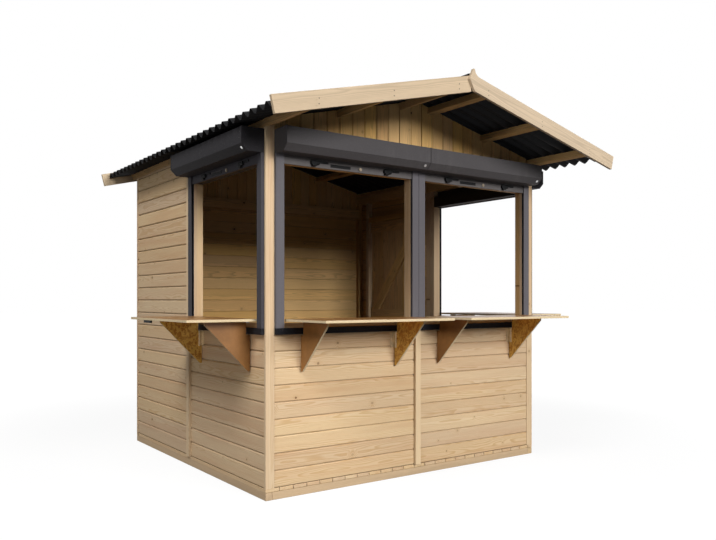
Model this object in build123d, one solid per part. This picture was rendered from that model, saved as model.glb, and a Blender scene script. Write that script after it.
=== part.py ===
from build123d import *

import os
from math import cos, pi, radians, sin, tan

# Wooden market stall with four serving openings, folding counters, rolled-up
# roller shutters, a plank door and a low gable roof of corrugated sheets.
# Millimetres. X runs along the front to the right, Y from front to back, Z up.
# The origin is the middle of the floor's footprint, at ground level.

# ---- overall sizes -------------------------------------------------------
WIDTH = 2300
DEPTH = 2255
RIDGE_TOP = 2562
PITCH = 13.8
EAVE_REACH = 253
FRONT_REACH = 527
BACK_REACH = 138

# ---- floor ---------------------------------------------------------------
BEARER_W = 45
BEARER_H = 48
DECK_T = 20
JOIST_COUNT = 5

# ---- wall build-up, from the floor's edge inwards ------------------------
CLAD_SET = 4
CLAD_T = 18
STUD = 45
TRIM_W = 58
BATTEN_W = 45
BATTEN_T = 20
PANEL_JOINT = 2
SHAVE = 0.5

# ---- openings ------------------------------------------------------------
PARAPET_TOP = 972
HEAD_DROP = 289.5
HEAD_RAIL_H = 90
PLATE_RISE = 140
SIDE_START = 15
SIDE_END_TO_DOOR = 173
BACK_RAIL_GAP = 3

# ---- roller shutters -----------------------------------------------------
BOX_D = 148
BOX_H = 138
BOX_RISE = 50
BOX_CUT = 40
END_PLATE_T = 5
END_PLATE_RIM = 2
RAIL_W = 55
RAIL_D = 22
SLOT_W = 12
SLOT_D = 38
RAIL_BACK = 3
SILL_H = 38
END_BAR_DROP = 6
END_BAR_H = 40
END_BAR_T = 9
SLAT_T = 6
BAR_ENTRY = 30

# ---- counters ------------------------------------------------------------
COUNTER_TOP = 1064
COUNTER_T = 15
COUNTER_D = 450
COUNTER_GAP = 16
HINGE_DROP = 5
HINGE_R = 4.7
HINGE_L = 70
HINGE_INSET = 160
PIN_GAP = 0.3
PAD_SIZE = 26

# ---- counter brackets ----------------------------------------------------
BRACKET_H = 300
BRACKET_REACH = 296
BRACKET_T = 12
BRACKET_INSET = 110
BRACKET_NOSE = 14
BRACKET_GAP = 5
STEP_GAP = 7
KNUCKLE_R = 4.5
KNUCKLE_L = 100
HINGE_PLATE_T = 2.5
HINGE_LEAF_W = 26

# ---- door ----------------------------------------------------------------
DOOR_W = 740
DOOR_FROM_BACK = 235
DOOR_HEAD_DROP = 50
DOOR_LAP = 13
DOOR_GAP = 6
DOOR_FOOT = 8
LEDGE_H = 95
LEDGE_T = 20
LEDGE_GAP = 8
LOW_LEDGE_Z = 120
MID_LEDGE_Z = 990
BRACE_RUN = 115
DOOR_PIN_R = 6
STRAP_L = 420
STRAP_H = 42
STRAP_TIP = 24
STRAP_T = 4
PLATE_L = 42
PLATE_H = 70
HANDLE_Z = 1180
HANDLE_INSET = 60
LOCK_W = 38
LOCK_H = 170
SPINDLE_R = 9
SPINDLE_L = 38
LEVER_L = 115
LEVER_T = 11
LEVER_H = 18

# ---- roof ----------------------------------------------------------------
PURLIN_W = 45
PURLIN_H = 45
EAVE_PURLIN_IN = 28
RIDGE_PURLIN_OUT = 119
BARGE_H = 98
BARGE_T = 20
LAP_REACH = 35
LAP_DROP = 30
LAP_FOOT = 6
TIP_H = 36
TIP_W = 12
TIP_FOOT = 48
SHEET_T = 3
WAVE_H = 34
WAVE_PITCH = 90
WAVE_STEPS = 12
SHEET_INSET = 63
SHEET_DROP = 3
SHEET_RIDGE_GAP = 15
SHEET_END_GAP = 1
NOTCH_GAP = 1
CAP_REACH = 112
CAP_R = 24
CAP_SINK = 4

# ---- places that follow from the sizes -----------------------------------
FRONT = -DEPTH / 2
BACK = DEPTH / 2
LEFT = -WIDTH / 2
RIGHT = WIDTH / 2
DECK_Z = BEARER_H + DECK_T
STUD_OUT = CLAD_SET + CLAD_T
STUD_IN = STUD_OUT + STUD
SLOPE = radians(PITCH)
ROOF_AT_WALL = RIDGE_TOP - WIDTH / 2 * tan(SLOPE)
HEAD_Z = ROOF_AT_WALL - HEAD_DROP
PLATE_Z = HEAD_Z + PLATE_RISE
BOX_BOTTOM = HEAD_Z + BOX_RISE
BOX_TOP = BOX_BOTTOM + BOX_H
END_BAR_Z = HEAD_Z - END_BAR_DROP
DOOR_HEAD = HEAD_Z - DOOR_HEAD_DROP
SILL_Z = PARAPET_TOP + SILL_H
FRONT_SHUTTER_W = WIDTH / 2 - TRIM_W
SIDE_SHUTTER_W = DEPTH - DOOR_FROM_BACK - DOOR_W - SIDE_END_TO_DOOR - SIDE_START
SIDE_FROM = FRONT + SIDE_START
SIDE_TO = SIDE_FROM + SIDE_SHUTTER_W
JOINT_Y = SIDE_TO + BACK_RAIL_GAP + BATTEN_W / 2
COUNTER_LOW = COUNTER_TOP - COUNTER_T
HINGE_Z = COUNTER_LOW - HINGE_DROP
LEDGER_TOP = HINGE_Z - HINGE_R - PIN_GAP
BRACKET_TOP = COUNTER_LOW - BRACKET_GAP
CURTAIN_U = RAIL_BACK + SLOT_W / 2
KNUCKLE_U = RAIL_D + BRACKET_GAP - KNUCKLE_R - PIN_GAP
BRACKET_STEP_U = RAIL_D + BRACKET_GAP + SHAVE
BRACKET_STEP_Z = PARAPET_TOP - STEP_GAP
BRACKET_FOOT_U = BRACKET_GAP + SHAVE - CLAD_SET
ROOF_FRONT = FRONT - FRONT_REACH
ROOF_BACK = BACK + BACK_REACH
PURLIN_TOP_DROP = SHEET_DROP + WAVE_H + SHEET_T
PURLIN_LOW_DROP = PURLIN_TOP_DROP + PURLIN_H
DOOR_REAR = BACK - DOOR_FROM_BACK
DOOR_FRONT = DOOR_REAR - DOOR_W
LEAF_FRONT = DOOR_FRONT - DOOR_LAP
LEAF_REAR = DOOR_REAR + DOOR_LAP
LEAF_TOP = DOOR_HEAD + DOOR_LAP
LEAF_U = SHAVE - STUD_OUT
DOOR_PIN_Y = LEAF_REAR + DOOR_GAP / 2
DOOR_PIN_U = DOOR_PIN_R + PIN_GAP - CLAD_SET


def roof_z(x, drop=0):
    """Height of the plane that lies `drop` square below the roof's top line."""
    return RIDGE_TOP - abs(x) * tan(SLOPE) - drop / cos(SLOPE)


def save(name, solids):
    """Write one node, from one solid or from several that don't touch."""
    shape = solids[0] if len(solids) == 1 else Compound(children=solids)
    export_step(shape, f"parts/{name}.step")


def block(x0, x1, y0, y1, z0, z1):
    middle = Pos((x0 + x1) / 2, (y0 + y1) / 2, (z0 + z1) / 2)
    return middle * Box(x1 - x0, y1 - y0, z1 - z0)


def spot(wall, s, u, z):
    """A point `u` outside a wall's face line, `s` along it, at height `z`."""
    places = {
        "front": (s, FRONT - u, z),
        "back": (s, BACK + u, z),
        "left": (LEFT - u, s, z),
        "right": (RIGHT + u, s, z),
    }
    return Vector(*places[wall])


def on_wall(wall, s0, s1, u0, u1, z0, z1):
    """A plain timber on a wall, between two places along, out and up."""
    a = spot(wall, s0, u0, z0)
    b = spot(wall, s1, u1, z1)
    xs = sorted((a.X, b.X))
    ys = sorted((a.Y, b.Y))
    return block(xs[0], xs[1], ys[0], ys[1], z0, z1)


def run_on_wall(wall, outline, s0, s1):
    """An outline of (outward, up) points, run along a wall."""
    points = [spot(wall, s0, u, z) for u, z in outline]
    along = (1, 0, 0) if wall in ("front", "back") else (0, 1, 0)
    face = make_face(Polyline(*points, close=True))
    return extrude(face, amount=s1 - s0, dir=along)


def run_back(outline, y0, y1):
    """An outline of (x, z) points, run from front to back."""
    points = [(x, y0, z) for x, z in outline]
    face = make_face(Polyline(*points, close=True))
    return extrude(face, amount=y1 - y0, dir=(0, 1, 0))


def both_sides(solids):
    """The solids and their mirror images on the other side of the stall."""
    return solids + [mirror(solid, about=Plane.YZ) for solid in solids]


def under_purlins(x0, x1, y0, y1, z0):
    """An upright whose top is cut to the slope, to carry the eave purlin."""
    outline = [
        (x0, z0),
        (x1, z0),
        (x1, roof_z(x1, PURLIN_LOW_DROP)),
        (x0, roof_z(x0, PURLIN_LOW_DROP)),
    ]
    return run_back(outline, y0, y1)


# ---- floor ---------------------------------------------------------------
def make_floor():
    side_rims = both_sides([block(LEFT, LEFT + BEARER_W, FRONT, BACK, 0, BEARER_H)])
    save("floor_side_rims", side_rims)
    joists = []
    step = (DEPTH - BEARER_W) / (JOIST_COUNT - 1)
    for i in range(JOIST_COUNT):
        y = FRONT + i * step
        joists.append(block(LEFT + BEARER_W, RIGHT - BEARER_W, y, y + BEARER_W, 0, BEARER_H))
    save("floor_joists", joists)
    save("floor_deck", [block(LEFT, RIGHT, FRONT, BACK, BEARER_H, DECK_Z)])


# ---- timbers inside the walls --------------------------------------------
def front_opening():
    """The right-hand front opening: where its clear width starts and ends."""
    return RAIL_W, FRONT_SHUTTER_W - RAIL_W


def side_opening():
    return SIDE_FROM + RAIL_W, SIDE_TO - RAIL_W


def make_posts():
    x_in, x_out = front_opening()
    y_in, y_out = side_opening()
    outer = RIGHT - STUD_OUT
    inner = RIGHT - STUD_IN
    front_y = (FRONT + STUD_OUT, FRONT + STUD_IN)
    back_y = (BACK - STUD_IN, BACK - STUD_OUT)
    corners = [
        block(x_out, outer, *front_y, DECK_Z, PLATE_Z),
        block(inner, outer, *back_y, DECK_Z, PLATE_Z),
    ]
    save("corner_posts", both_sides(corners))

    half = PANEL_JOINT / 2
    joint = SIDE_TO
    front_mid = block(half, x_in, *front_y, DECK_Z, HEAD_Z)
    side_mid = block(inner, outer, y_out, joint, DECK_Z, PLATE_Z)
    rear_mid = block(inner, outer, joint + PANEL_JOINT, joint + PANEL_JOINT + STUD, DECK_Z, PLATE_Z)
    latch_post = block(inner, outer, DOOR_FRONT - STUD, DOOR_FRONT, DECK_Z, PLATE_Z)
    hinge_post = block(inner, outer, DOOR_REAR, DOOR_REAR + STUD, DECK_Z, PLATE_Z)
    back_mid = block(-STUD / 2, STUD / 2, *back_y, DECK_Z, HEAD_Z)
    posts = both_sides([front_mid, side_mid, rear_mid])
    save("wall_posts", posts + [latch_post, hinge_post, back_mid])


def make_rails():
    x_in, x_out = front_opening()
    y_in, y_out = side_opening()
    outer = RIGHT - STUD_OUT
    inner = RIGHT - STUD_IN
    front_y = (FRONT + STUD_OUT, FRONT + STUD_IN)
    back_y = (BACK - STUD_IN, BACK - STUD_OUT)
    side_y = (FRONT + STUD_IN, y_out)
    rear_y = (SIDE_TO + PANEL_JOINT + STUD, BACK - STUD_IN)

    head = (HEAD_Z, HEAD_Z + HEAD_RAIL_H)
    side_head = block(inner, outer, *side_y, *head)
    door_head = block(inner, outer, DOOR_FRONT, DOOR_REAR, DOOR_HEAD, DOOR_HEAD + STUD)
    save("head_rails", both_sides([side_head]) + [
        block(-x_out, x_out, *front_y, *head),
        block(-inner, inner, *back_y, *head),
        door_head,
    ])

    sill = (SILL_Z - STUD, SILL_Z)
    base = (DECK_Z, DECK_Z + STUD)
    left_rear = block(-outer, -inner, *rear_y, *base)
    save("low_rails", both_sides([
        block(x_in, x_out, *front_y, *sill),
        block(inner, outer, *side_y, *sill),
        block(x_in, x_out, *front_y, *base),
        block(inner, outer, *side_y, *base),
        block(STUD / 2, inner, *back_y, *base),
    ]) + [left_rear])

    plate = under_purlins(inner, outer, FRONT + STUD_OUT, BACK - STUD_OUT, PLATE_Z)
    save("top_plates", both_sides([plate]))


# ---- boarding ------------------------------------------------------------
def side_boarding(wall, y0, y1, z0):
    """Boarding on a side wall, up to the bevelled seat of the eave purlin."""
    out, back = -CLAD_SET, -STUD_OUT
    outline = [
        (back, z0),
        (out, z0),
        (out, roof_z(RIGHT + out, PURLIN_LOW_DROP)),
        (back, roof_z(RIGHT + back, PURLIN_LOW_DROP)),
    ]
    return run_on_wall(wall, outline, y0, y1)


def make_boarding():
    half = PANEL_JOINT / 2
    inner_edge = FRONT_SHUTTER_W
    front_half = on_wall("front", half, inner_edge, -STUD_OUT, -CLAD_SET, DECK_Z, PARAPET_TOP)
    save("front_parapets", both_sides([front_half]))

    front_edge = FRONT + STUD_OUT
    back_edge = BACK - STUD_OUT
    save("side_parapets", both_sides([
        on_wall("right", front_edge, JOINT_Y - half, -STUD_OUT, -CLAD_SET, DECK_Z, PARAPET_TOP)
    ]))
    save("side_headers", both_sides([
        side_boarding("right", front_edge, JOINT_Y - half, HEAD_Z)
    ]))
    save("left_rear_wall", [side_boarding("left", JOINT_Y + half, back_edge, DECK_Z)])

    cut_front = LEAF_FRONT - DOOR_GAP
    cut_rear = LEAF_REAR + DOOR_GAP
    save("right_wall_beside_door", [
        side_boarding("right", JOINT_Y + half, cut_front, DECK_Z),
        side_boarding("right", cut_rear, back_edge, DECK_Z),
    ])
    save("right_wall_over_door", [side_boarding("right", cut_front, cut_rear, LEAF_TOP + DOOR_GAP)])
    save("back_wall", [
        on_wall("back", -inner_edge, inner_edge, -STUD_OUT, -CLAD_SET, DECK_Z, HEAD_Z)
    ])


def make_gables():
    """Upright boarding under the slopes, notched round the purlins."""
    edge = FRONT_SHUTTER_W
    top = PURLIN_TOP_DROP + NOTCH_GAP
    outline = [
        (-edge, HEAD_Z),
        (edge, HEAD_Z),
        (edge, roof_z(edge, top)),
        (0, roof_z(0, top)),
        (-edge, roof_z(edge, top)),
    ]
    front = run_back(outline, FRONT + CLAD_SET, FRONT + STUD_OUT)
    back = run_back(outline, BACK - STUD_OUT, BACK - CLAD_SET)
    for place in purlin_places():
        for side in (-1, 1):
            notch = purlin(side, place, NOTCH_GAP)
            front -= notch
            back -= notch
    save("gables", [front.solid(), back.solid()])


def make_trims():
    front = under_purlins(FRONT_SHUTTER_W, RIGHT, FRONT, FRONT + STUD_OUT, DECK_Z)
    back = under_purlins(FRONT_SHUTTER_W, RIGHT, BACK - STUD_OUT, BACK, DECK_Z)
    save("corner_trims", both_sides([front, back]))

    half = BATTEN_W / 2
    out = BATTEN_T - CLAD_SET
    side = under_purlins(
        RIGHT - CLAD_SET, RIGHT + out, JOINT_Y - half, JOINT_Y + half, DECK_Z)
    save("wall_battens", both_sides([side]) + [
        on_wall("front", -half, half, -CLAD_SET, out, DECK_Z, PARAPET_TOP),
        on_wall("back", -half, half, -CLAD_SET, out, DECK_Z, HEAD_Z),
    ])


def make_jambs():
    """The pale boards behind the guide rails, and the rails under the counters."""
    half = PANEL_JOINT / 2
    x_in, x_out = front_opening()
    y_in, y_out = side_opening()
    height = (PARAPET_TOP, HEAD_Z)
    save("jamb_boards", both_sides([
        on_wall("front", half, x_in, -STUD_OUT, 0, *height),
        on_wall("front", x_out, FRONT_SHUTTER_W, -STUD_OUT, 0, *height),
        on_wall("right", FRONT + STUD_OUT, y_in, -STUD_OUT, 0, *height),
        on_wall("right", y_out, SIDE_TO, -STUD_OUT, 0, *height),
    ]))
    ledger = (PARAPET_TOP, LEDGER_TOP)
    save("counter_ledgers", both_sides([
        on_wall("front", x_in, x_out, -STUD_OUT, 0, *ledger),
        on_wall("right", y_in, y_out, -STUD_OUT, 0, *ledger),
    ]))


# ---- roller shutters -----------------------------------------------------
def box_outline(rim):
    """A shutter box seen from its end, its lower outer edge cut at 45 degrees."""
    outer, top = BOX_D + rim, BOX_TOP + rim
    return [
        (0, BOX_BOTTOM),
        (outer - BOX_CUT, BOX_BOTTOM),
        (outer, BOX_BOTTOM + BOX_CUT),
        (outer, top),
        (0, top),
    ]


def shutter_box(wall, s0, s1):
    """A rolled-up shutter's box between two end plates that stand a little proud."""
    body = run_on_wall(wall, box_outline(0), s0, s1)
    for start in (s0, s1 - END_PLATE_T):
        body += run_on_wall(wall, box_outline(END_PLATE_RIM), start, start + END_PLATE_T)
    return body.solid()


def guide_rail(wall, s0, opens_up):
    """One rail, with the slot that the shutter's slats run in."""
    body = on_wall(wall, s0, s0 + RAIL_W, 0, RAIL_D, SILL_Z, BOX_BOTTOM)
    start = s0 + RAIL_W - SLOT_D if opens_up else s0
    slot_u = (RAIL_BACK, RAIL_BACK + SLOT_W)
    return body - on_wall(wall, start, start + SLOT_D, *slot_u, SILL_Z, BOX_BOTTOM)


def end_bar(wall, s0, s1):
    """The shutter's bottom bar, hanging from the last slat, in both rails."""
    mid = CURTAIN_U
    bar, slat = END_BAR_T / 2, SLAT_T / 2
    shoulder = END_BAR_Z + END_BAR_H
    outline = [
        (mid - bar, END_BAR_Z),
        (mid + bar, END_BAR_Z),
        (mid + bar, shoulder),
        (mid + slat, shoulder),
        (mid + slat, BOX_BOTTOM),
        (mid - slat, BOX_BOTTOM),
        (mid - slat, shoulder),
        (mid - bar, shoulder),
    ]
    return run_on_wall(wall, outline, s0 - BAR_ENTRY, s1 + BAR_ENTRY)


def make_shutters():
    half = PANEL_JOINT / 2
    x_in, x_out = front_opening()
    y_in, y_out = side_opening()
    front_to = FRONT_SHUTTER_W
    save("shutter_boxes", both_sides([
        shutter_box("front", half, front_to),
        shutter_box("right", SIDE_FROM, SIDE_TO),
    ]))

    inner_rail = guide_rail("front", 0, True)
    inner_rail -= on_wall("front", 0, half, 0, RAIL_D, SILL_Z, BOX_BOTTOM)
    save("guide_rails", both_sides([
        inner_rail,
        guide_rail("front", x_out, False),
        guide_rail("right", SIDE_FROM, True),
        guide_rail("right", y_out, False),
    ]))
    save("shutter_end_bars", both_sides([
        end_bar("front", x_in, x_out),
        end_bar("right", y_in, y_out),
    ]))
    save("shutter_sills", both_sides([
        on_wall("front", half, front_to, 0, RAIL_D, PARAPET_TOP, SILL_Z),
        on_wall("right", SIDE_FROM, SIDE_TO, 0, RAIL_D, PARAPET_TOP, SILL_Z),
    ]))


# ---- counters and brackets -----------------------------------------------
def counter_spans():
    """Each counter's name, wall, and its two ends along that wall."""
    x_in, x_out = front_opening()
    y_in, y_out = side_opening()
    gap = COUNTER_GAP
    return [
        ("front_left", "front", -x_out + gap, -x_in - gap),
        ("front_right", "front", x_in + gap, x_out - gap),
        ("left", "left", y_in + gap, y_out - gap),
        ("right", "right", y_in + gap, y_out - gap),
    ]


def counter(wall, s0, s1):
    board = on_wall(wall, s0, s1, 0, COUNTER_D, COUNTER_LOW, COUNTER_TOP)
    pad_to = BRACKET_REACH - BRACKET_NOSE
    pad_z = BRACKET_TOP + PIN_GAP
    for centre in bracket_centres(s0, s1):
        near, far = centre - PAD_SIZE / 2, centre + PAD_SIZE / 2
        board += on_wall(wall, near, far, pad_to - PAD_SIZE, pad_to, pad_z, COUNTER_LOW)
    return board.solid()


def bracket_centres(s0, s1):
    inset = BRACKET_INSET + BRACKET_T / 2
    return s0 + inset, s1 - inset


def bracket(wall, centre):
    """A triangular bracket on the boarding, stepped to pass in front of the sill."""
    outline = [
        (BRACKET_STEP_U, BRACKET_TOP),
        (BRACKET_STEP_U, BRACKET_STEP_Z),
        (BRACKET_FOOT_U, BRACKET_STEP_Z),
        (BRACKET_FOOT_U, BRACKET_TOP - BRACKET_H),
        (BRACKET_FOOT_U + BRACKET_NOSE, BRACKET_TOP - BRACKET_H),
        (BRACKET_REACH, BRACKET_TOP - BRACKET_NOSE),
        (BRACKET_REACH, BRACKET_TOP),
    ]
    return run_on_wall(wall, outline, centre - BRACKET_T / 2, centre + BRACKET_T / 2)


def upright_pin(wall, s, u, z, radius, length):
    return Pos(spot(wall, s, u, z)) * Cylinder(radius, length)


def level_pin(wall, s, u, z, radius, length):
    turn = Rot(0, 90, 0) if wall in ("front", "back") else Rot(90, 0, 0)
    return Pos(spot(wall, s, u, z)) * turn * Cylinder(radius, length)


def bracket_hinge(wall, face_s, inward):
    """A leaf on the boarding, a web that stands out from it and a round barrel."""
    pin_s = face_s + inward * (KNUCKLE_R + PIN_GAP)
    low, high = BRACKET_STEP_Z - KNUCKLE_L, BRACKET_STEP_Z
    half = HINGE_PLATE_T / 2
    web = on_wall(wall, pin_s - half, pin_s + half, -CLAD_SET, KNUCKLE_U, low, high)
    leaf_ends = sorted((pin_s - inward * half, pin_s + inward * HINGE_LEAF_W))
    leaf = on_wall(wall, *leaf_ends, -CLAD_SET, HINGE_PLATE_T - CLAD_SET, low, high)
    barrel = upright_pin(wall, pin_s, KNUCKLE_U, (low + high) / 2, KNUCKLE_R, KNUCKLE_L)
    return (web + leaf + barrel).solid()


def make_counters():
    hinges = []
    bracket_hinges = []
    for name, wall, s0, s1 in counter_spans():
        save(f"{name}_counter", [counter(wall, s0, s1)])
        for s in (s0 + HINGE_INSET, s1 - HINGE_INSET):
            hinges.append(level_pin(wall, s, 0, HINGE_Z, HINGE_R, HINGE_L))
        ends = zip("ab", bracket_centres(s0, s1), (1, -1))
        for end, centre, inward in ends:
            save(f"{name}_bracket_{end}", [bracket(wall, centre)])
            bracket_hinges.append(bracket_hinge(wall, centre + inward * BRACKET_T / 2, inward))
    save("counter_hinges", hinges)
    save("bracket_hinges", bracket_hinges)


# ---- door ----------------------------------------------------------------
def make_door():
    leaf_face = LEAF_U + CLAD_T
    leaf = on_wall(
        "right", LEAF_FRONT, LEAF_REAR, LEAF_U, leaf_face, DECK_Z + DOOR_FOOT, LEAF_TOP)
    save("door_leaf", [leaf])

    near, far = DOOR_FRONT + LEDGE_GAP, DOOR_REAR - LEDGE_GAP
    top_ledge_z = DOOR_HEAD - LEDGE_GAP - LEDGE_H
    inner = LEAF_U - LEDGE_T
    ledge_levels = (LOW_LEDGE_Z, MID_LEDGE_Z, top_ledge_z)
    save("door_ledges", [
        on_wall("right", near, far, inner, LEAF_U, z, z + LEDGE_H) for z in ledge_levels
    ])

    braces = []
    for low, high in zip(ledge_levels, ledge_levels[1:]):
        foot, head = low + LEDGE_H, high
        outline = [
            spot("right", far, inner, foot),
            spot("right", far - BRACE_RUN, inner, foot),
            spot("right", near, inner, head),
            spot("right", near + BRACE_RUN, inner, head),
        ]
        face = make_face(Polyline(*outline, close=True))
        braces.append(extrude(face, amount=LEDGE_T, dir=(1, 0, 0)))
    save("door_braces", braces)

    straps = []
    plates = []
    for z in ledge_levels:
        mid = z + LEDGE_H / 2
        pin = upright_pin("right", DOOR_PIN_Y, DOOR_PIN_U, mid, DOOR_PIN_R, STRAP_H)
        outline = [
            spot("right", DOOR_PIN_Y, leaf_face, mid - STRAP_H / 2),
            spot("right", DOOR_PIN_Y, leaf_face, mid + STRAP_H / 2),
            spot("right", DOOR_PIN_Y - STRAP_L, leaf_face, mid + STRAP_TIP / 2),
            spot("right", DOOR_PIN_Y - STRAP_L, leaf_face, mid - STRAP_TIP / 2),
        ]
        face = make_face(Polyline(*outline, close=True))
        strap = extrude(face, amount=STRAP_T, dir=(1, 0, 0)) + pin
        straps.append(strap.solid())
        plate_y = DOOR_PIN_Y + DOOR_PIN_R + PIN_GAP
        plates.append(on_wall(
            "right", plate_y, plate_y + PLATE_L, -CLAD_SET, STRAP_T - CLAD_SET,
            mid - PLATE_H / 2, mid + PLATE_H / 2))
    save("door_straps", straps)
    save("door_hinge_plates", plates)
    save("door_handle", [door_handle(leaf_face, 1), door_handle(LEAF_U, -1)])


def door_handle(face_u, way):
    """A lock plate, spindle and lever on one face of the leaf."""
    s = LEAF_FRONT + HANDLE_INSET
    end_u = face_u + way * SPINDLE_L
    plate = on_wall(
        "right", s - LOCK_W / 2, s + LOCK_W / 2, face_u, face_u + way * STRAP_T,
        HANDLE_Z - LOCK_H / 2, HANDLE_Z + LOCK_H / 2)
    middle = spot("right", s, (face_u + end_u) / 2, HANDLE_Z)
    spindle = Pos(middle) * Rot(0, 90, 0) * Cylinder(SPINDLE_R, SPINDLE_L)
    lever = on_wall(
        "right", s - SPINDLE_R, s + LEVER_L, end_u - way * LEVER_T, end_u,
        HANDLE_Z - LEVER_H / 2, HANDLE_Z + LEVER_H / 2)
    return (plate + spindle + lever).solid()


# ---- roof ----------------------------------------------------------------
def purlin_places():
    """Distance of each purlin's underside from the ridge line."""
    eave = WIDTH / 2 - EAVE_PURLIN_IN
    return eave, (eave + RIDGE_PURLIN_OUT) / 2, RIDGE_PURLIN_OUT


def roof_ends(side):
    """Where the sheets and purlins of a slope end, behind its barge boards."""
    lap = BARGE_T if side > 0 else 0
    return ROOF_FRONT + BARGE_T - lap, ROOF_BACK - BARGE_T + lap


def purlin(side, place, grow=0):
    """A purlin square to its slope, its underside centred on a place."""
    along = Vector(side * cos(SLOPE), 0, -sin(SLOPE))
    square = Vector(side * sin(SLOPE), 0, cos(SLOPE))
    y0, y1 = roof_ends(side)
    low = Vector(side * place, y0, roof_z(place, PURLIN_LOW_DROP))
    side = along * (PURLIN_W / 2 + grow)
    foot = low - square * grow
    head = low + square * (PURLIN_H + grow)
    points = [foot - side, foot + side, head + side, head - side]
    face = make_face(Polyline(*points, close=True))
    return extrude(face, amount=y1 - y0, dir=(0, 1, 0))


def left_barge(y0):
    reach = WIDTH / 2 + EAVE_REACH
    foot = reach - BARGE_H * sin(SLOPE)
    outline = [
        (-reach, roof_z(reach)),
        (-foot, roof_z(reach) - BARGE_H * cos(SLOPE)),
        (-LAP_FOOT, roof_z(LAP_FOOT, BARGE_H)),
        (-LAP_FOOT, roof_z(LAP_FOOT)),
    ]
    return run_back(outline, y0, y0 + BARGE_T)


def right_barge(y0):
    """A barge board that laps over the left one and ends in an upright tip."""
    reach = WIDTH / 2 + EAVE_REACH
    foot = reach - BARGE_H * sin(SLOPE)
    half, tip = TIP_W / 2, RIDGE_TOP + TIP_H
    corners = [
        (TIP_FOOT, roof_z(TIP_FOOT)),
        (reach, roof_z(reach)),
        (foot, roof_z(reach) - BARGE_H * cos(SLOPE)),
        (LAP_FOOT, roof_z(LAP_FOOT, BARGE_H)),
        (-LAP_REACH, RIDGE_TOP - LAP_DROP),
        (-half, tip),
        (half, tip),
    ]
    points = [Vector(x, y0, z) for x, z in corners]
    down_slope = points[1] - points[0]
    hollow = TangentArc(points[0], points[-1], tangent=-down_slope)
    face = make_face(Polyline(*points).edges() + [hollow])
    return extrude(face, amount=BARGE_T, dir=(0, 1, 0))


def roof_sheet(side):
    """A corrugated sheet on one slope; its waves run down the slope."""
    y0, y1 = roof_ends(side)
    run = y1 - y0 - 2 * SHEET_END_GAP
    steps = WAVE_STEPS * round(run / WAVE_PITCH)
    lower = []
    for i in range(steps + 1):
        height = WAVE_H / 2 * (1 - cos(2 * pi * i / WAVE_STEPS))
        lower.append((run * i / steps, height))
    upper = [(y, height + SHEET_T) for y, height in reversed(lower)]

    start = SHEET_RIDGE_GAP
    down = Vector(side * cos(SLOPE), 0, -sin(SLOPE))
    edge = y0 + SHEET_END_GAP if side > 0 else y1 - SHEET_END_GAP
    origin = (side * start, edge, roof_z(start, PURLIN_TOP_DROP))
    slope_plane = Plane(origin=origin, x_dir=(0, side, 0), z_dir=down)
    face = make_face(Polyline(*lower, *upper, close=True))
    length = (WIDTH / 2 + EAVE_REACH - SHEET_INSET - start) / cos(SLOPE)
    return extrude(slope_plane * face, amount=length, dir=down)


def ridge_cap():
    """A folded cap with a half-round roll along the ridge."""
    reach = CAP_REACH
    crest, upper = SHEET_DROP, SHEET_DROP - SHEET_T
    wings = [
        (-reach, roof_z(reach, crest)),
        (-reach, roof_z(reach, upper)),
        (0, roof_z(0, upper)),
        (reach, roof_z(reach, upper)),
        (reach, roof_z(reach, crest)),
        (0, roof_z(0, crest)),
    ]
    y0 = ROOF_FRONT + BARGE_T
    length = ROOF_BACK - BARGE_T - y0
    core = Pos(0, y0 + length / 2, roof_z(0, crest) - CAP_SINK) * Rot(90, 0, 0)
    below = [
        (-reach, roof_z(reach, crest)),
        (0, roof_z(0, crest)),
        (reach, roof_z(reach, crest)),
        (reach, roof_z(reach, crest) - CAP_REACH),
        (-reach, roof_z(reach, crest) - CAP_REACH),
    ]
    cap = run_back(wings, y0, y0 + length) + core * Cylinder(CAP_R, length)
    cap -= run_back(below, y0, y0 + length)
    cap -= core * Cylinder(CAP_R - SHEET_T, length)
    return cap.solid()


def make_roof():
    save("roof_purlins", [purlin(side, place) for side in (-1, 1) for place in purlin_places()])
    save("barge_boards", [
        left_barge(ROOF_FRONT),
        left_barge(ROOF_BACK - BARGE_T),
        right_barge(ROOF_FRONT - BARGE_T),
        right_barge(ROOF_BACK),
    ])
    save("roof_sheet_left", [roof_sheet(-1)])
    save("roof_sheet_right", [roof_sheet(1)])
    save("ridge_cap", [ridge_cap()])


os.makedirs("parts", exist_ok=True)
make_floor()
make_posts()
make_rails()
make_boarding()
make_gables()
make_trims()
make_jambs()
make_shutters()
make_counters()
make_door()
make_roof()
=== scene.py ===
"""Wooden market stall: the looks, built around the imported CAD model.

Laid out as an add-on: sizes and colours are properties, each group of like
pieces has an operator, and the panel in the 3D view's sidebar lists them.
Metres, in the CAD model's own frame: X to the right, Y to the back, Z up.
"""

import math
import random

import bmesh
import bpy
from bpy.props import FloatProperty, FloatVectorProperty, PointerProperty
from mathutils import Matrix, Vector


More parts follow.
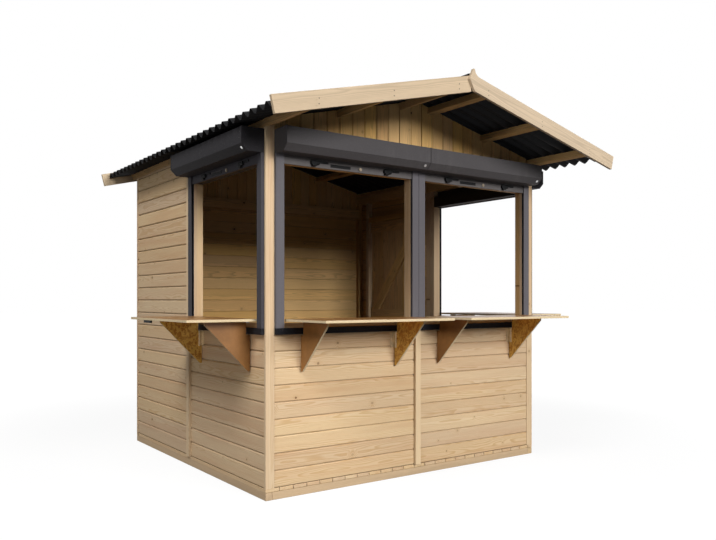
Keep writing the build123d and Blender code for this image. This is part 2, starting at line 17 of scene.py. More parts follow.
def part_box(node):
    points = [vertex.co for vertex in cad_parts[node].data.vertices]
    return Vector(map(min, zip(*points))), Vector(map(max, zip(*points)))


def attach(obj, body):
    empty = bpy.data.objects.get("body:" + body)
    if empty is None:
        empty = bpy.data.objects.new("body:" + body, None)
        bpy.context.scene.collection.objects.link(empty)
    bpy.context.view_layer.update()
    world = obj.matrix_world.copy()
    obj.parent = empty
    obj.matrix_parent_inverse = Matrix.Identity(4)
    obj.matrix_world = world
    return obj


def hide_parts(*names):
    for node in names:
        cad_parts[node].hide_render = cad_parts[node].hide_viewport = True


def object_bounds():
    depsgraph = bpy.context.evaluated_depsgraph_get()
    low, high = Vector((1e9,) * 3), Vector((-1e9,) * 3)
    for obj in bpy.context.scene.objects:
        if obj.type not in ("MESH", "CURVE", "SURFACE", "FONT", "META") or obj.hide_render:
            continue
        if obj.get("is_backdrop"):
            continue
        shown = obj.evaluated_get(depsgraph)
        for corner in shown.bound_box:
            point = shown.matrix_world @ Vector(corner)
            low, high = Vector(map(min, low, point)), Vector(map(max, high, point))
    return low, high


bl_info = {
    "name": "Wooden Market Stall",
    "version": (1, 0, 0),
    "blender": (4, 5, 0),
    "location": "3D View > Sidebar > Market Stall",
    "description": "Builds the boards, metalwork, materials and studio of a wooden market stall",
    "category": "Object",
}

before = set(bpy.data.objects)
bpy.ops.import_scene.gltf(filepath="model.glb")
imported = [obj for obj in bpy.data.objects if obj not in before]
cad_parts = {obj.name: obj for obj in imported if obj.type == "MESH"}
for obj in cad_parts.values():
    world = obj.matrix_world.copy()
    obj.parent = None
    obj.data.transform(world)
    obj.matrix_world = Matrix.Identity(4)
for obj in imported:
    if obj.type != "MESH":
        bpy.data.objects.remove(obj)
CAD_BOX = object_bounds()
DECK_LOW, DECK_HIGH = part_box("floor_deck")
GROUND_BODY = "stall"

X, Y, Z = Vector((1, 0, 0)), Vector((0, 1, 0)), Vector((0, 0, 1))
# Places this close count as one.
WELD = 1e-5
NEAR = WELD * 4
# Angles that count as flat, and as an edge.
FLAT = math.radians(0.5)
CREASE = math.radians(35)
# Cosines of directions that count as the same, and of faces that look the same way.
ALIGNED = 0.99
FACING = 0.9
# Faces of a board that look this far away from its outside get the inner finish.
INWARD = -0.5
# A tongue goes this far into what it meets.
BITE = 0.0004
# A board narrower than this many joints is left out.
THINNEST = 3


# ---------------------------------------------------------------- properties
def length(description, default):
    return FloatProperty(
        description=description, default=default, min=0.0, subtype="DISTANCE", unit="LENGTH")


def colour(description, default):
    return FloatVectorProperty(
        description=description, default=default, size=3, min=0.0, max=1.0, subtype="COLOR")


class StallSizes(bpy.types.PropertyGroup):
    """Sizes of what is added to the CAD model"""

    wall_board: length("Visible height of a wall board", 0.1005)
    gable_board: length("Visible width of a gable board", 0.096)
    floor_board: length("Width of a floorboard", 0.094)
    door_board: length("Visible width of a door board", 0.0958)
    groove: length("Width of each bevel of a joint's outer groove", 0.0058)
    back_groove: length("Width of each bevel on the inner face", 0.003)
    floor_groove: length("Bevel along a floorboard's upper edges", 0.0016)
    floor_back_groove: length("The same underneath", 0.0012)
    joint: length("Open gap between two boards, down to the tongue", 0.0020)
    side_joint: length("The same gap in the weathered side walls", 0.0050)
    floor_joint: length("The same gap between floorboards", 0.0036)
    tongue_inset: length("How far a tongue lies behind a board's bevels", 0.0036)
    seat: length("Open gap between the boarding and the floor", 0.0075)
    board_end: length("Bevel at a board's ends", 0.0008)
    floor_end: length("Bevel at a floorboard's ends", 0.0022)
    arris: length("Rounding of a planed timber's edges", 0.0016)
    sawn_arris: length("Worn edge of the floor's bearers", 0.0042)
    panel_arris: length("Bevel along a plywood panel's edges", 0.0008)
    metal_arris: length("Rounding of a folded metal edge", 0.0012)
    nail: length("Radius of a nail's head", 0.0036)
    screw: length("Radius of a screw's head", 0.00368)


class StallColours(bpy.types.PropertyGroup):
    """Colours of the stall's finishes; a finish takes the colour that has its name"""

    sapwood: colour("Pale wood between the rings", (0.77, 0.575, 0.362))
    latewood: colour("Darker wood of the rings", (0.60, 0.375, 0.18))
    heartwood: colour("Reddish zones of a board", (0.69, 0.46, 0.28))
    knot: colour("Knots", (0.20, 0.095, 0.035))
    batten_pine: colour("Pale strips over the panel joints", (0.86, 0.655, 0.42))
    barge_pine: colour("Paler wood of the barge boards", (0.685, 0.535, 0.365))
    # Painted shade: the shaded pine is a warmer, more saturated copy of the pine for wood inside
    # and on the gables.
    inner_pine: colour("Painted shade: warmer, more saturated pine for shaded wood", (0.78, 0.48, 0.20))
    sawn: colour("Sawn bearers of the floor", (0.70, 0.51, 0.305))
    # Painted shade: a near-black pine where the side headers lie in deep shade.
    stained_pine: colour("Painted shade: near-black pine for the headers inside the side walls", (0.030, 0.021, 0.015))
    grey_coat: colour("Powder coat of the shutter boxes", (0.090, 0.083, 0.085))
    # Painted light: the rail coat is lighter than the box coat.
    rail_coat: colour("Coat of the guide rails, lighter than the box coat as painted light", (0.140, 0.131, 0.142))
    # Painted shade: the two side coats are darker copies for the boxes, rails and bars on the
    # sides.
    side_box_coat: colour("Painted shade: darker coat for the boxes on the sides", (0.030, 0.028, 0.031))
    side_rail_coat: colour("Painted shade: darker coat for the side rails and bars", (0.068, 0.064, 0.072))
    bar_coat: colour("Coat of the bottom bars", (0.122, 0.112, 0.110))
    sill_coat: colour("Black strips under the rails", (0.014, 0.014, 0.017))
    sheet: colour("Black roof sheets", (0.011, 0.011, 0.012))
    film: colour("Smooth brown film of the plywood", (0.32, 0.145, 0.042))
    flakes: colour("Pale flakes of the pressed board", (1.0, 0.63, 0.15))
    dark_flakes: colour("Dark flakes of the pressed board", (0.66, 0.30, 0.05))
    ply_edge: colour("Cut edges of the plywood", (0.92, 0.74, 0.47))
    zinc: colour("Zinc plated steel", (0.60, 0.60, 0.60))
    yellow_zinc: colour("Yellow passivated hinges", (0.76, 0.60, 0.38))
    lock: colour("Round locks in the bottom bars", (0.27, 0.22, 0.16))
    rubber: colour("Stoppers, brush strips and catches", (0.004, 0.004, 0.0045))
    # Partly painted shade: the dark steel heads are darkened further to stand for the holes they
    # sit in.
    nail: colour("Dark heads of nails, partly painted shade of the holes they leave", (0.10, 0.085, 0.07))
    pad: colour("White rests for the brackets", (0.82, 0.82, 0.80))


def sizes():
    return bpy.context.scene.stall_sizes


def colours():
    return bpy.context.scene.stall_colours


# ------------------------------------------------------------- mesh workshop
def solids_of(node):
    """Clean, closed copies of a CAD node's solids, one bmesh for each."""
    whole = bmesh.new()
    whole.from_mesh(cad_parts[node].data)
    bmesh.ops.remove_doubles(whole, verts=whole.verts, dist=WELD)
    bmesh.ops.dissolve_limit(whole, angle_limit=FLAT, verts=whole.verts, edges=whole.edges)
    whole.verts.ensure_lookup_table()
    left = set(range(len(whole.verts)))
    solids = []
    while left:
        island = set()
        stack = [left.pop()]
        while stack:
            i = stack.pop()
            island.add(i)
            near = {e.other_vert(whole.verts[i]).index for e in whole.verts[i].link_edges}
            fresh = near & left
            left -= fresh
            stack.extend(fresh)
        solid = whole.copy()
        others = [v for v in solid.verts if v.index not in island]
        bmesh.ops.delete(solid, geom=others, context="VERTS")
        solids.append(solid)
    whole.free()
    solids.sort(key=lambda s: tuple(round(c, 3) for c in middle(s)))
    return solids


def lent(node):
    """Lends each of a CAD node's solids, and frees it afterwards."""
    for solid in solids_of(node):
        yield solid
        solid.free()


def reach(bm, axis):
    """How far a mesh goes along an axis, low and high."""
    places = [v.co.dot(axis) for v in bm.verts]
    return min(places), max(places)


def middle(bm):
    return [sum(reach(bm, axis)) / 2 for axis in (X, Y, Z)]


def bevel(bm, edges, width, segments=1):
    if edges and width > 0:
        bmesh.ops.bevel(
            bm, geom=edges, offset=width, offset_type="OFFSET", segments=segments,
            profile=0.5, affect="EDGES", clamp_overlap=True, material=-1)


def sharp_edges(bm):
    return [e for e in bm.edges if e.is_manifold and e.calc_face_angle() > CREASE]


def paint(bm, material):
    """Puts all of a mesh's faces in one of its piece's material slots."""
    for face in bm.faces:
        face.material_index = material


def gather(target, solid):
    """Moves one solid's mesh into a piece's mesh."""
    mesh = bpy.data.meshes.new("solid")
    solid.to_mesh(mesh)
    solid.free()
    target.from_mesh(mesh)
    bpy.data.meshes.remove(mesh)


def keep_between(bm, axis, low, high):
    """Cuts a closed mesh down to the slice between two places on an axis."""
    lowest, highest = reach(bm, axis)
    cuts = []
    if low > lowest + WELD:
        cuts.append((low, -axis))
    if high < highest - WELD:
        cuts.append((high, axis))
    for place, away in cuts:
        geometry = bm.verts[:] + bm.edges[:] + bm.faces[:]
        bmesh.ops.bisect_plane(
            bm, geom=geometry, dist=WELD, plane_co=axis * place, plane_no=away,
            clear_outer=True)
        bmesh.ops.holes_fill(bm, edges=bm.edges, sides=0)


def lengthwise(solid):
    """The direction of a timber's longest edge, and of its broadest face."""
    longest = max(solid.edges, key=lambda e: e.calc_length())
    along = (longest.verts[1].co - longest.verts[0].co).normalized()
    if max(along, key=abs) < 0:
        along = -along
    broadest = max(solid.faces, key=lambda f: f.calc_area())
    return along, broadest.normal.copy()


# Where a timber is cut from its log, measured from the log's heart: how far along it, and how
# far from it sideways and in depth.
LOG_LENGTH = 60
HEART_SIDE = (0.0, 0.055)
HEART_DEPTH = (0.018, 0.075)


def lay_grain(bm, along, thick, dice):
    """Places a timber inside a log of its own: X runs along the log's heart."""
    grain = bm.verts.layers.float_vector.new("grain")
    tone = bm.verts.layers.float.new("tone")
    across = thick.cross(along).normalized()
    thick = along.cross(across).normalized()
    centre = Vector(middle(bm))
    heart = Vector((
        dice.uniform(0, LOG_LENGTH),
        dice.choice((-1, 1)) * dice.uniform(*HEART_SIDE),
        dice.choice((-1, 1)) * dice.uniform(*HEART_DEPTH)))
    shade = dice.random()
    for v in bm.verts:
        place = v.co - centre
        v[grain] = Vector((place.dot(along), place.dot(across), place.dot(thick))) + heart
        v[tone] = shade


def add_box(bm, a, b, rounding=0.0, segments=1, material=0):
    """A box with rounded edges between two opposite corners."""
    low, high = Vector(map(min, a, b)), Vector(map(max, a, b))
    box = bmesh.new()
    bmesh.ops.create_cube(
        box, size=1.0,
        matrix=Matrix.Translation((low + high) / 2) @ Matrix.Diagonal((*(high - low), 1)))
    bevel(box, box.edges[:], rounding, segments)
    paint(box, material)
    gather(bm, box)


def turned(direction):
    """The turn that takes Z to a direction."""
    return Z.rotation_difference(Vector(direction)).to_matrix().to_4x4()


def add_rod(bm, centre, direction, radius, height, rounding=0.0, sides=20, tip=None, material=0):
    """A round bar along a direction, or a cone when tip is given."""
    rod = bmesh.new()
    bmesh.ops.create_cone(
        rod, cap_ends=True, segments=sides, radius1=radius,
        radius2=radius if tip is None else tip, depth=height,
        matrix=Matrix.Translation(Vector(centre)) @ turned(direction))
    rims = [e for e in rod.edges if any(len(f.verts) > 4 for f in e.link_faces)]
    bevel(rod, rims, rounding, 2)
    paint(rod, material)
    gather(bm, rod)


# How far the heads of nails and screws stand out; the other half of a head is sunk.
NAIL_PROUD = 0.0008
SCREW_PROUD = 0.0012


def add_nail(bm, place, out, radius):
    """A flat nail head, slightly domed."""
    add_rod(bm, place, out, radius, NAIL_PROUD * 2, sides=10, tip=radius * 0.7)


def add_screw(bm, place, out, radius):
    """A countersunk head with a round recess, seen from `out`."""
    screw = bmesh.new()
    add_rod(screw, place, out, radius, SCREW_PROUD * 2, sides=12, tip=radius * 0.82)
    face = max(screw.faces, key=lambda f: f.normal.dot(out) * f.calc_area())
    for share, depth in ((0.36, 0.0), (0.06, -SCREW_PROUD * 0.9)):
        bmesh.ops.inset_region(screw, faces=[face], thickness=radius * share, depth=depth)
    gather(bm, screw)


def put_piece(name, bm, body, finishes, slot, replaced=()):
    """Turns a bmesh into a piece that rides on a body."""
    for face in bm.faces:
        face.smooth = True
    for edge in bm.edges:
        edge.smooth = not (edge.is_manifold and edge.calc_face_angle() > CREASE)
    mesh = bpy.data.meshes.new(name)
    bm.to_mesh(mesh)
    bm.free()
    for key in finishes:
        mesh.materials.append(finish(key))
    piece = bpy.data.objects.new(name, mesh)
    bpy.context.scene.collection.objects.link(piece)
    shading = piece.modifiers.new("even_shading", "WEIGHTED_NORMAL")
    shading.keep_sharp = True
    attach(piece, body)
    if replaced:
        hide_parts(*replaced)


def timber_piece(
        name, node, material="inner_pine", body=GROUND_BODY, slot="pine", rounding=None,
        shaded_top=False, stained=None):
    """A node's timbers with rounded edges; a covered upper edge gets painted shade, and chosen
    solids the near-black pine as painted shade.
    """
    dice = random.Random(name)
    rounding = sizes().arris if rounding is None else rounding
    piece = bmesh.new()
    for solid in solids_of(node):
        along, thick = lengthwise(solid)
        bevel(solid, sharp_edges(solid), rounding, 2)
        # Painted shade along the top faces that something covers.
        if shaded_top:
            recess = solid.verts.layers.float.new("recess")
            top = reach(solid, Z)[1]
            for v in solid.verts:
                v[recess] = float(v.co.z > top - WELD)
        # Solids that the given test picks take the near-black pine as painted shade.
        if stained and stained(solid):
            paint(solid, 1)
        lay_grain(solid, along, thick, dice)
        gather(piece, solid)
    finishes = (material, "stained_pine") if stained else (material,)
    put_piece(name, piece, body, finishes, slot, [node])


def board_piece(
        name, node, stack, along, out, pitch, first, body=GROUND_BODY, split=(), grooves=None,
        joint=None, ends=None, seat=0.0, material="pine", inner="inner_pine", slot="pine"):
    """A slab cut into tongued boards that meet in grooves on both faces."""
    dice = random.Random(name)
    grooves = grooves or (sizes().groove, sizes().back_groove)
    joint = joint or sizes().joint
    ends = ends or sizes().board_end
    piece = bmesh.new()
    for slab in lent(node):
        facing = out(slab) if callable(out) else out
        stretches = cut_places(reach(slab, along), split)
        for lower, upper, meets in board_places(reach(slab, stack), pitch, first, joint, seat):
            for start, end in stretches:
                board = slab.copy()
                keep_between(board, stack, lower, upper)
                keep_between(board, along, start, end)
                if not board.faces:
                    board.free()
                    continue
                sides = [side for side, met in zip((lower, upper), meets) if met]
                groove_board(board, stack, along, facing, sides, grooves)
                bevel(board, sharp_ends(board, along), ends)
                if meets[1]:
                    raise_tongue(board, stack, upper, joint)
                if seat and not meets[0]:
                    raise_tongue(board, -stack, -lower, seat)
                for face in board.faces:
                    face.material_index = int(face.normal.dot(facing) < INWARD)
                lay_grain(board, along, facing, dice)
                gather(piece, board)
    put_piece(name, piece, body, (material, inner), slot, [node])


def board_places(ends, pitch, first, joint, seat):
    """Each board's lower and upper side in a slab, and which of the two meet a board."""
    low, high = ends
    index = math.floor((low - first + WELD) / pitch)
    while first + index * pitch < high - WELD:
        lower, upper = max(low, first + index * pitch), min(high, first + (index + 1) * pitch)
        index += 1
        if upper - lower >= joint * THINNEST:
            meets = (lower > low + WELD, upper < high - WELD)
            yield lower + (joint / 2 if meets[0] else seat), upper - joint / 2 * meets[1], meets


def cut_places(ends, split):
    """The stretches between a slab's ends and the places where it is split."""
    places = [ends[0], *[s for s in split if ends[0] < s < ends[1]], ends[1]]
    return list(zip(places, places[1:]))


def raise_tongue(board, stack, place, height):
    """Lifts the middle of a board's edge until it meets what lies beyond the gap, and marks the
    tongue for painted shade.
    """
    recess = board.verts.layers.float.get("recess") or board.verts.layers.float.new("recess")
    edge = [
        f for f in board.faces if f.normal.dot(stack) > ALIGNED
        and abs(f.calc_center_median().dot(stack) - place) < WELD]
    if edge:
        bmesh.ops.inset_region(
            board, faces=edge, thickness=sizes().tongue_inset, depth=0, use_even_offset=True)
        foot = [v for face in edge for v in face.verts]
        bmesh.ops.inset_region(board, faces=edge, thickness=height * 0.1, depth=height + BITE)
        for v in [*foot, *(v for face in edge for v in face.verts)]:
            v[recess] = 1.0


def groove_board(board, stack, along, out, sides, widths):
    """Bevels a board's long edges: wide ones on its face, narrow ones behind."""
    faces = reach(board, out)[::-1]
    picked = ([], [])
    for edge in board.edges:
        a, b = (v.co for v in edge.verts)
        if (b - a).length < WELD or abs((b - a).normalized().dot(along)) < ALIGNED:
            continue
        if any(abs(a.dot(stack) - side) <= NEAR for side in sides):
            for edges, face in zip(picked, faces):
                if abs(a.dot(out) - face) < NEAR:
                    edges.append(edge)
    for edges, width in zip(picked, widths):
        bevel(board, [e for e in edges if e.is_valid], width)


def sharp_ends(board, along):
    """Edges round a board's two ends."""
    ends = reach(board, along)
    return [
        e for e in sharp_edges(board)
        if any(all(abs(v.co.dot(along) - end) < WELD for v in e.verts) for end in ends)]


def metal_piece(name, node, *finishes, slot="grey_metal", extras=None, shaded_side_coat=None):
    """A node's folded or drawn metal with softened edges, and what is fixed to it."""
    piece = bmesh.new()
    for solid in solids_of(node):
        bevel(solid, sharp_edges(solid), sizes().metal_arris, 2)
        # Parts on the sides take the last finish, a darker coat as painted shade.
        if shaded_side_coat and Wall(solid).on_side:
            paint(solid, len(finishes))
        gather(piece, solid)
    if extras:
        extras(piece)
    if shaded_side_coat:
        finishes = (*finishes, shaded_side_coat)
    put_piece(name, piece, GROUND_BODY, finishes, slot, [node])


class Wall:
    """A solid's wall: out of it, along it to the right from outside, and the solid's reach."""

    FRONT_DEPTH = 0.01

    def __init__(self, solid):
        x, y, _ = middle(solid)
        self.on_side = y >= DECK_LOW[1] + self.FRONT_DEPTH
        if self.on_side:
            self.out, self.along = (X, Y) if x > 0 else (-X, -Y)
        else:
            self.out, self.along = -Y, X
        self.start, self.end = reach(solid, self.along)
        self.back, self.face = reach(solid, self.out)
        self.low, self.high = reach(solid, Z)

    def at(self, along, out, height):
        return self.along * along + self.out * out + Z * height


# ------------------------------------------------------------- shader helpers
class Value:
    """A node's output. Sums, textures and blends that follow it are its methods."""

    def __init__(self, socket):
        self.socket = socket
        self.tree = socket.id_data

    def into(self, kind, key, inputs=None, output=0, **settings):
        """Feeds this value to an input of a new node, and gives one of its outputs."""
        return value_of(self.tree, kind, output, {key: self, **(inputs or {})}, **settings)

    def math(self, operation, b=0.0, c=0.0):
        return self.into("ShaderNodeMath", 0, {1: b, 2: c}, operation=operation)

    def __sub__(self, other):
        return self.math("SUBTRACT", other)

    def __mul__(self, other):
        return self.math("MULTIPLY", other)

    def __truediv__(self, other):
        return self.math("DIVIDE", other)

    def scaled(self, factor, plus):
        return self.math("MULTIPLY_ADD", factor, plus)

    def ease(self, low, high, out_low=0.0, out_high=1.0):
        """Goes smoothly from one value to another between two places."""
        ends = {"From Min": low, "From Max": high, "To Min": out_low, "To Max": out_high}
        return self.into(
            "ShaderNodeMapRange", "Value", ends, "Result", interpolation_type="SMOOTHSTEP")

    def mix(self, a, b, blend_type="MIX"):
        """From one colour to another by this share."""
        return self.into(
            "ShaderNodeMix", 0, {6: a, 7: b}, 2, data_type="RGBA", blend_type=blend_type)

    def vector(self, operation, b=(0.0, 0.0, 0.0), output="Vector"):
        return self.into("ShaderNodeVectorMath", 0, {1: b}, output, operation=operation)

    def stretched(self, *factors):
        return self.vector("MULTIPLY", factors)

    def length(self):
        return self.vector("LENGTH", output="Value")

    def noise(self, scale, detail=2.0, roughness=0.5, output="Fac"):
        inputs = {"Scale": scale, "Detail": detail, "Roughness": roughness}
        return self.into("ShaderNodeTexNoise", "Vector", inputs, output)

    def drawn_out(self, pattern, output="Fac"):
        """Noise along the grain: stretch along and across it, detail, roughness."""
        along, across, detail, roughness = pattern
        return self.stretched(along, across, across).noise(1.0, detail, roughness, output)

    def parts(self):
        """Red, green and blue of a colour."""
        split = add_node(self.tree, "ShaderNodeSeparateColor", {0: self})
        return [Value(socket) for socket in split.outputs]


def add_node(tree, kind, inputs=None, **settings):
    """Adds a node; an input that is a Value gets linked, and a number or colour is set."""
    node = tree.nodes.new(kind)
    for name, setting in settings.items():
        setattr(node, name, setting)
    for key, value in (inputs or {}).items():
        socket = node.inputs[key]
        if isinstance(value, Value):
            tree.links.new(value.socket, socket)
        else:
            socket.default_value = rgba(value) if socket.type == "RGBA" else value
    return node


def value_of(tree, kind, output, inputs=None, **settings):
    return Value(add_node(tree, kind, inputs, **settings).outputs[output])


def rgba(value):
    return (*value, 1.0)[:4]


def times(shade, factor):
    return [c * factor for c in shade]


def attribute(tree, name, output="Fac"):
    return value_of(
        tree, "ShaderNodeAttribute", output, attribute_name=name, attribute_type="GEOMETRY")


def place_in(tree):
    return value_of(tree, "ShaderNodeTexCoord", "Object")


def shared_group(name, inputs, fill):
    """The node group of that name; `fill` makes its colour, roughness and height once."""
    if name not in bpy.data.node_groups:
        group = bpy.data.node_groups.new(name, "ShaderNodeTree")
        outputs = {"Color": (0.8, 0.8, 0.8), "Roughness": 0.5, "Height": 0.0}
        for way, sockets in (("INPUT", inputs), ("OUTPUT", outputs)):
            for key, default in sockets.items():
                kind = "Float" if isinstance(default, float) else "Color"
                socket = group.interface.new_socket(
                    name=key, in_out=way, socket_type=f"NodeSocket{kind}")
                socket.default_value = default if kind == "Float" else rgba(default)
        given = group.nodes.new("NodeGroupInput").outputs
        result = group.nodes.new("NodeGroupOutput").inputs
        made = fill(group, {socket.name: Value(socket) for socket in given})
        for value, socket in zip(made, result):
            group.links.new(value.socket, socket)
    return bpy.data.node_groups[name]


# ------------------------------------------------------------- shader groups
# Patterns drawn out along the grain: stretch along and across it, detail, roughness.
BENDS = (1.1, 7.0, 3.0, 0.55)
FIBRES = (9.0, 420.0, 2.0, 0.6)
ZONES = (0.9, 16.0, 3.0, 0.6)
FLECKS = (14.0, 230.0, 2.0, 0.7)
STREAKS = (5.0, 130.0, 3.0, 0.6)
# Places for a knot in each metre, how ragged a knot's edge is, the least radius of a knot and
# what chance adds to it, and how many rings bend aside for one.
KNOT_PLACES = 6.5
KNOT_RAGGED = 0.004
KNOT_RADIUS = 0.0035
KNOT_SPREAD = 0.0065
KNOT_RINGS = 2.6
# Painted shade in the gaps between boards and along covered edges: how dark it is, and its colour.
GAP_SHADE_SHARE = 0.93
GAP_SHADE_COLOUR = (0.07, 0.026, 0.009)


def timber_nodes(group, get):
    """Growth rings, fibres, knots and the tone of each board."""
    grain, tone = attribute(group, "grain", "Vector"), attribute(group, "tone")

    bend = grain.drawn_out(BENDS, "Color").vector("SUBTRACT", (0.5, 0.5, 0.5))
    bend = bend.stretched(0.0, 1.0, 1.0).vector("MULTIPLY", get["Waviness"])
    radius = grain.vector("ADD", bend).stretched(0.0, 1.0, 1.0).length()

    cells = add_node(
        group, "ShaderNodeTexVoronoi",
        {"Vector": grain.stretched(0.85, 1.0, 0.0), "Scale": KNOT_PLACES, "Randomness": 1.0},
        voronoi_dimensions="2D", feature="F1").outputs
    chance, girth, depth = Value(cells["Color"]).parts()
    away = (grain.noise(140.0) - 0.5).scaled(KNOT_RAGGED, Value(cells["Distance"]) / KNOT_PLACES)
    away = away / girth.scaled(KNOT_SPREAD, KNOT_RADIUS)
    chosen = chance.math("LESS_THAN", get["Knot Share"])
    knot = away.ease(0.75, 1.1, 1.0, 0.0) * chosen
    halo = away.ease(0.6, 4.5, 1.0, 0.0) * chosen

    turn = halo.scaled(KNOT_RINGS, radius / get["Ring Size"]).math("FRACT")
    late = turn.ease(0.35, 0.88) * turn.ease(0.9, 1.0, 1.0, 0.0)
    fibres = grain.drawn_out(FIBRES)

    wood = grain.drawn_out(ZONES).ease(0.42, 0.72) * 0.8
    wood = wood.mix(get["Sapwood"], get["Heartwood"])
    wood = (late * get["Ring Strength"]).mix(wood, get["Latewood"])
    lift = (fibres - 0.5).scaled(0.24, (tone - 0.5).scaled(get["Tone Spread"], 1.0))
    richness = (tone * 7.3).math("FRACT").scaled(0.12, 0.96)
    wood = wood.into(
        "ShaderNodeHueSaturation", "Color",
        {"Hue": tone.scaled(0.007, 0.4965), "Saturation": richness, "Value": lift})
    wood = (halo * 0.28).mix(wood, get["Latewood"])
    wood = (knot * depth.scaled(0.75, 0.2)).mix(wood, get["Knot"])
    for pattern, low, share in ((FLECKS, 0.62, 0.42), (STREAKS, 0.60, 0.48)):
        marks = grain.drawn_out(pattern).ease(low, 0.78, 0.0, share)
        wood = marks.mix(wood, get["Latewood"])
    # Painted shade: marked gaps and covered edges turn nearly black.
    wood = (attribute(group, "recess") * GAP_SHADE_SHARE).mix(wood, GAP_SHADE_COLOUR)

    rough = fibres.scaled(0.1, late.scaled(-0.08, 0.62))
    height = knot.scaled(-0.6, late.scaled(0.5, fibres))
    return wood, rough, height


def coat_nodes(group, get):
    """Powder coat: fine orange peel, dust and faint runs."""
    place = place_in(group)
    clouds = place.noise(3.2, 4.0, 0.6)
    runs = place.stretched(38.0, 38.0, 1.6).noise(1.0, 3.0)
    dust = clouds.ease(0.45, 0.75) * runs.ease(0.3, 0.7) * get["Dust"]
    tint = dust.mix(get["Coat"], (0.30, 0.28, 0.26))
    specks = place.noise(170.0, 1.0, 0.4).ease(0.60, 0.80, 0.0, 0.12)
    tint = specks.mix(tint, (0.35, 0.35, 0.37))
    return tint, dust.scaled(0.5, clouds.scaled(0.12, 0.46)), place.noise(520.0)


# ---------------------------------------------------------------- finishes
def new_material(name, specular=0.5, metallic=0.0):
    """A material, and its Principled shader with its uniform values."""
    material = bpy.data.materials.new(name)
    material.use_nodes = True
    shader = material.node_tree.nodes["Principled BSDF"]
    shader.inputs["Specular IOR Level"].default_value = specular
    shader.inputs["Metallic"].default_value = metallic
    return material, shader


def wire(shader, tint, rough, height, strength, depth):
    """Links colour, roughness and a bump that is `depth` metres high."""
    bump = height.into(
        "ShaderNodeBump", "Height", {"Strength": strength, "Distance": depth}, "Normal")
    for key, value in (("Base Color", tint), ("Roughness", rough), ("Normal", bump)):
        value.tree.links.new(value.socket, shader.inputs[key])


def timber_finish(
        name, shade, heart=0.86, late=None, depth=0.0006, specular=0.2, passed_on=(0.65,) * 3,
        **inputs):
    """Timber that passes on less light than it shows, to keep shaded corners deep."""
    wood = colours()
    defaults = {
        "Sapwood": wood.sapwood, "Latewood": wood.latewood, "Heartwood": wood.heartwood,
        "Knot": wood.knot, "Ring Size": 0.0042, "Ring Strength": 0.62, "Knot Share": 0.30,
        "Tone Spread": 0.14, "Waviness": 0.045}
    if shade:
        inputs |= {"Sapwood": shade, "Heartwood": times(shade, heart)}
    if late:
        inputs["Latewood"] = times(shade, late)
    material, shader = new_material(name, specular)
    tree = material.node_tree
    group = shared_group("Timber Grain", defaults, timber_nodes)
    shown, rough, height = map(
        Value, add_node(tree, "ShaderNodeGroup", inputs, node_tree=group).outputs)
    bounced = value_of(tree, "ShaderNodeLightPath", "Is Diffuse Ray")
    wire(shader, bounced.mix(shown, passed_on, "MULTIPLY"), rough, height, 0.35, depth)
    return material


def coat_finish(name, shade, dust=0.1, specular=0.05):
    material, shader = new_material(name, specular)
    group = shared_group("Powder Coat", {"Coat": colours().grey_coat, "Dust": 0.1}, coat_nodes)
    layer = add_node(
        material.node_tree, "ShaderNodeGroup", {"Coat": shade, "Dust": dust}, node_tree=group)
    wire(shader, *map(Value, layer.outputs), 0.12, 0.0003)
    return material


def sheet_finish(name, shade):
    """Black sheet with a mineral grain that holds a little dust."""
    material, shader = new_material(name, specular=0.08)
    place = place_in(material.node_tree)
    grit, clouds = place.noise(700.0, 2.0, 0.6), place.noise(4.0, 4.0, 0.6)
    tint = clouds.ease(0.4, 0.75, 0.0, 0.5).mix(shade, (0.03, 0.029, 0.028))
    tint = grit.ease(0.58, 0.8, 0.0, 0.3).mix(tint, (0.07, 0.07, 0.07))
    wire(shader, tint, clouds.scaled(0.2, 0.5), grit, 0.3, 0.0008)
    return material


def film_finish(name, shade):
    """Smooth brown film with the faint weave of its press plate."""
    material, shader = new_material(name, specular=0.35)
    place = place_in(material.node_tree)
    clouds, fine = place.noise(7.0, 4.0, 0.6), place.noise(260.0, 2.0, 0.6)
    tint = clouds.ease(0.3, 0.7).mix(times(shade, 0.82), times(shade, 1.18))
    tint = fine.ease(0.5, 0.8, 0.0, 0.25).mix(tint, (0.10, 0.05, 0.03))
    wire(shader, tint, clouds.scaled(0.16, 0.24), fine, 0.12, 0.0003)
    return material


# Flakes in each metre along and across their length, and how each layer of them is turned
# and scaled.
FLAKES_ALONG, FLAKES_ACROSS = 21.0, 84.0
FLAKE_LAYERS = ((0.5, 1.0), (-0.6, 1.25), (1.4, 0.9))


def flake_finish(name, shade):
    """Pressed board: overlapping flakes, golden to dark brown."""
    material, shader = new_material(name, specular=0.35)
    place = place_in(material.node_tree)
    layers = []
    for turn, scale in FLAKE_LAYERS:
        spun = place.into(
            "ShaderNodeVectorRotate", "Vector", {"Rotation": (turn, turn * 0.7, turn * 1.3)},
            "Vector", rotation_type="EULER_XYZ")
        across = FLAKES_ACROSS * scale
        cells = spun.stretched(FLAKES_ALONG * scale, across, across).into(
            "ShaderNodeTexVoronoi", "Vector", {"Scale": 1.0, "Randomness": 0.9}, "Color")
        layers.append(cells.parts())
    pick = layers[0][1].ease(0.35, 0.4)
    flake = pick.into("ShaderNodeMix", 0, {2: layers[1][0], 3: layers[2][0]}, data_type="FLOAT")
    dark_shade = colours().dark_flakes
    dark = place.noise(9.0, 3.0).scaled(0.5, flake).ease(0.52, 1.1)
    tint = dark.mix(shade, dark_shade)
    tint = place.noise(300.0).ease(0.5, 0.9, 0.0, 0.4).mix(tint, dark_shade)
    wire(shader, tint, flake.ease(0.0, 1.0, 0.42, 0.6), flake, 0.3, 0.0006)
    return material


